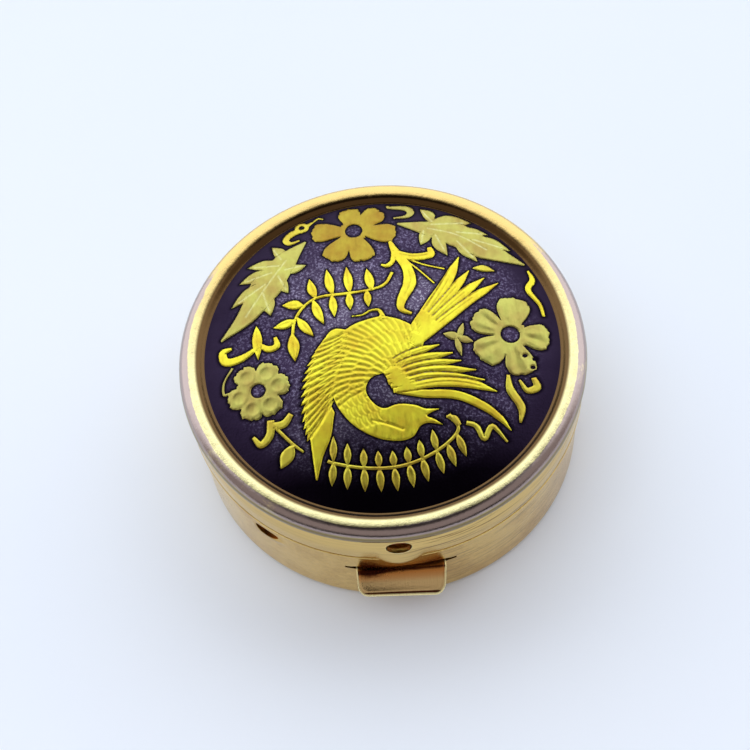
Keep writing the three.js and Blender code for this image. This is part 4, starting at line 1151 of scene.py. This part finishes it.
def tab_piece():
    """The thumb tab: flat through the slit, then sloping down, a little twisted by use.
    Its three free edges are rolled, with a fine line chased inside the roll."""
    thick, bend, slope, corner, front = 0.36, 19.65, 0.45, 1.1, 4.25
    tip = -LATCH_LOW.y
    steps = np.array([0, 0.03, 0.07, 0.11, 0.15, 0.19, 0.23, 0.27, 0.34, 0.42, 0.52, 0.66, 0.9,
                      1.2, 1.6, 2, 2.3])
    rows = np.concatenate([np.linspace(18.45, bend, 7)[:-1], (tip - steps)[::-1]])
    across = np.concatenate([1 - steps / 4.2, [0.35, 0.25, 0.12]])
    across = np.concatenate([-across, [0], across[::-1]])
    vertices, tarnish_and_shade, warm = [], [], []
    for y in rows:
        half = np.interp(y, [bend, tip - corner], [4.35, front])
        if y > tip - corner:
            half = front - corner + math.sqrt(max(corner**2 - (y - tip + corner) ** 2, 0))
        out = max(y - bend, 0) / (tip - bend)
        for side in (1, -1):
            for x in across * half * side:
                inset = min(half - abs(x), tip - y)
                if abs(x) > front - corner and y > tip - corner:
                    inset = corner - math.hypot(abs(x) - front + corner, y - tip + corner)
                inset = max(inset, 0)
                lift = 0.5 * thick * math.sqrt(1 - (1 - min(inset / 0.15, 1)) ** 2)
                if side > 0 and out > 0:
                    lift += 0.05 * math.exp(-((inset - 0.4) / 0.2) ** 2)
                    lift -= 0.07 * math.exp(-((inset - 0.22) / 0.06) ** 2)
                drop = slope * (tip - bend) * out * min(out * 3, 1) ** 0.5 + out * (0.1 + 0.09 * x)
                vertices.append((x - 0.14 * out, -y + 0.03 * out * (front - x),
                                 SLIT_Z - 0.05 - drop + side * lift))
                blob = math.exp(-((x + 2.9) / 1.3) ** 2 - ((y - bend - 0.1) / 0.5) ** 2)
                # Some oxide near the root, and a sharp dark band where the tab leaves the slit,
                # which is painted shade.
                root = 0.1 * max(1 - out * 1.6, 0) + 0.6 * math.exp(-((y - bend) / 0.16) ** 2)
                line = 0.9 * math.exp(-((tip - y - 0.24) / 0.08) ** 2)
                tarnish_and_shade.append((0.75 * blob + root + line) * (inset > 0.12))
                warm.append(min(max(1.5 - 2.2 * out, 0.42), 1) if inset > 0.16 else 0.0)
    count = 2 * len(across)
    faces = []
    for i in range(len(rows) - 1):
        for k in range(count):
            m = (k + 1) % count
            faces.append([i * count + k, i * count + m, (i + 1) * count + m, (i + 1) * count + k])
    faces.append(list(range(count))[::-1])
    faces.append(list(range((len(rows) - 1) * count, len(rows) * count)))
    points = np.array(vertices)
    piece = make_object("thumb_tab", points, faces, "latch", "latch", "spring_brass", [],
                        points[:, :2] / 20, 60)
    set_values(piece, "wear_and_shade", tarnish_and_shade)
    set_values(piece, "deep", warm)
    return weld(piece, 0.002)


def latch_foot():
    low, high = FOOT_LOW, FOOT_HIGH
    thick = 0.35
    outline = [(low.y, low.z), (high.y, low.z), (high.y, low.z + thick),
               (low.y + thick + 0.2, low.z + thick), (low.y + thick, low.z + thick + 0.15),
               (low.y + thick, high.z), (low.y, high.z)]
    piece = make_object("latch_foot_plate", *prism(outline, "x", low.x, high.x), "latch", "base",
                        "spring_brass", ["latch_foot"])
    bevel(piece, 0.06)


# ----------------------------------------------------------------------------------- the hinge


def turned_on_pin(profile, step, closed):
    """A profile of (radius, x) turned about the hinge pin's axis."""
    vertices, faces, uv = turned(profile, np.arange(-180, 180, step), closed)
    return vertices[:, [2, 0, 1]] + (0, HINGE_Y, HINGE_Z), faces, uv


def barrel(name, body, low_x, high_x, nodes):
    """A knuckle's rolled barrel, bored for the pin, with rounded ends."""
    outer, bore = 1.0, 0.54
    profile = np.vstack([
        [[bore, low_x]], arc((outer - 0.12, low_x + 0.12), 0.12, 0.12, -90, 0, 4),
        arc((outer - 0.12, high_x - 0.12), 0.12, 0.12, 0, 90, 4), [[bore, high_x]]])
    vertices, faces, uv = turned_on_pin(profile, 7.5, True)
    piece = make_object(name, vertices, faces, "hinge", body, "gilt_brass", nodes, uv)
    return weld(piece)


def leaf_plate(name, body, low, high, wall_radius):
    """A hinge leaf bent to the wall, between two corners given as (x, z)."""
    x, z = np.meshgrid(np.linspace(low[0], high[0], 13), np.linspace(low[1], high[1], 9))
    y = np.sqrt((wall_radius(z) + 0.02) ** 2 - x * x)
    front = np.stack([x, y, z], 2)
    piece = make_object(name, *plate(front, front + (0, 0.38, 0)), "hinge", body, "gilt_brass", [])
    weld(piece)
    return bevel(piece, 0.07)


def hinge():
    for side, name in ((-1, "left"), (1, "right")):
        low_x, high_x = KNUCKLE_LOW.x, KNUCKLE_HIGH.x
        if side < 0:
            low_x, high_x = -high_x, -low_x
        barrel("barrel_" + name, "base", low_x, high_x, ["base_knuckle_" + name])
        leaf_plate("leaf_" + name, "base", (low_x + 0.05, KNUCKLE_LOW.z),
                   (high_x - 0.05, HINGE_Z - 0.75),
                   lambda z: np.where(z < RIM_Z - 0.7, WALL_R, LIP_R))
    low_x, high_x = LID_KNUCKLE_LOW.x, LID_KNUCKLE_HIGH.x
    barrel("barrel_middle", "lid", low_x, high_x, ["lid_knuckle"])
    leaf_plate("leaf_middle", "lid", (low_x + 0.05, HINGE_Z + 0.75),
               (high_x - 0.05, LID_KNUCKLE_HIGH.z),
               lambda z: np.interp(z, [PARTING_Z, 12.4, NECK_Z], [SKIRT_R, 19.62, NECK_R]))
    vertices, faces = prism([(0.7, -0.25), (1.38, -0.25), (1.45, -0.18), (1.45, 0.18),
                             (1.38, 0.25), (0.7, 0.25)], "x", low_x, high_x)
    x, y, z = vertices.T
    c, s = heading(math.radians(-22))
    turned_back = np.column_stack([x, y * c - z * s + HINGE_Y, y * s + z * c + HINGE_Z])
    piece = make_object("hinge_heel", turned_back, faces, "hinge", "lid", "gilt_brass", [])
    bevel(piece, 0.05)
    pin, half = 0.5, PIN_HIGH.x
    profile = np.vstack([[[0, -half]], arc((pin - 0.15, -half + 0.15), 0.15, 0.15, -90, 0, 4),
                         arc((pin - 0.15, half - 0.15), 0.15, 0.15, 0, 90, 4), [[0, half]]])
    vertices, faces, uv = turned_on_pin(profile, 10, False)
    weld(make_object("pin_rod", vertices, faces, "pin", "base", "pin_brass", ["hinge_pin"], uv))


# ------------------------------------------------------------------- the stage and the camera


def camera():
    """The photograph's viewing angle: in front, 61 degrees above the table, turned a little."""
    elevation, roll = math.radians(61.34), math.radians(-6.24)
    distance, focus_height = 154.4, 6.5
    forward = Vector((0, math.cos(elevation), -math.sin(elevation)))
    place = Vector((0, 0, focus_height)) - forward * distance
    right = Vector((1, 0, 0))
    up = right.cross(forward)
    x_axis = math.cos(roll) * right + math.sin(roll) * up
    y_axis = -math.sin(roll) * right + math.cos(roll) * up
    aim = forward - 0.0074667 * x_axis + 0.0122667 * y_axis
    aim.normalize()
    x_axis = (x_axis - aim * x_axis.dot(aim)).normalized()
    y_axis = x_axis.cross(aim)
    data = bpy.data.cameras.new("photo_camera")
    data.sensor_width = 36
    data.lens = 72
    data.clip_start = 0.01
    item = bpy.data.objects.new("photo_camera", data)
    turn = Matrix((x_axis, y_axis, -aim)).transposed().to_4x4()
    around = Matrix.Rotation(math.radians(PATTERN_TURN), 4, "Z")
    item.matrix_world = around @ Matrix.Translation(place * MM) @ turn
    bpy.context.scene.collection.objects.link(item)
    bpy.context.scene.camera = item


def stage():
    """A pale table top."""
    nodes = Finish("pale_table", (0.66, 0.72, 0.8), 0.0)
    cloud = nodes.noise(nodes.place, 9, 3)
    paint = nodes.mix(nodes.ramp(cloud, 0.3, 0.7), (0.8, 0.85, 0.93), (0.83, 0.87, 0.94))
    mesh = bpy.data.meshes.new("table")
    size = 0.6
    corner_points = [(-size, -size, 0), (size, -size, 0), (size, size, 0), (-size, size, 0)]
    mesh.from_pydata(corner_points, [], [[0, 1, 2, 3]])
    mesh.materials.append(nodes.done(paint, 0.5))
    floor = bpy.data.objects.new("table", mesh)
    bpy.context.scene.collection.objects.link(floor)


ROOM_DIM = (0.45, 0.42, 0.42)
ROOM_BRIGHT = (1.62, 1.72, 1.86)
CEILING = Vector((-0.1, -0.15, 0.55))


def room():
    """A soft bright room behind the box, dim overhead and in front."""
    world = bpy.data.worlds.new("pale_room")
    world.use_nodes = True
    nodes = Nodes(world.node_tree)
    direction = nodes.add("SeparateXYZ", Vector=nodes.add("TexCoord").outputs["Generated"])
    back, up = direction.outputs["Y"], direction.outputs["Z"]
    behind = nodes.ramp(back, -0.1, 0.35, smooth=True)
    below = nodes.ramp(up, 0.86, 0.98, 1, 0, smooth=True)
    over = nodes.ramp(up, 0.86, 0.97, 1, 0.12, smooth=True)
    ahead = nodes.ramp(back, -0.8, -0.3, smooth=True)
    above = nodes.ramp(up, 0.12, 0.4, smooth=True)
    shade = nodes.math("MAXIMUM", nodes.math("MAXIMUM", ahead, above), 0.06)
    background = nodes.tree.nodes["Background"]
    colour = nodes.mix(nodes.math("MULTIPLY", behind, below), ROOM_DIM, ROOM_BRIGHT)
    nodes.set(background.inputs["Color"], colour)
    nodes.set(background.inputs["Strength"], nodes.math("MULTIPLY", over, shade))
    bpy.context.scene.world = world


def lights():
    """The room, and a soft lamp high over the box that casts its shadow."""
    room()
    data = bpy.data.lights.new("ceiling", "AREA")
    data.size = 0.5
    data.energy = 1.1
    data.color = (0.95, 0.98, 1.0)
    ceiling = bpy.data.objects.new("ceiling", data)
    ceiling.location = CEILING
    ceiling.rotation_euler = CEILING.to_track_quat("Z", "Y").to_euler()
    ceiling.visible_glossy = False
    bpy.context.scene.collection.objects.link(ceiling)
    bpy.context.scene.view_settings.view_transform = "Standard"


camera()
stage()
lights()
base_cup()
base_collar()
latch_foot()
thumb_latch()
hinge()
lid_bezel()
lid_pan()
flowers()
leaves()
ferns()
bird()
scrolls()
steel_disc()
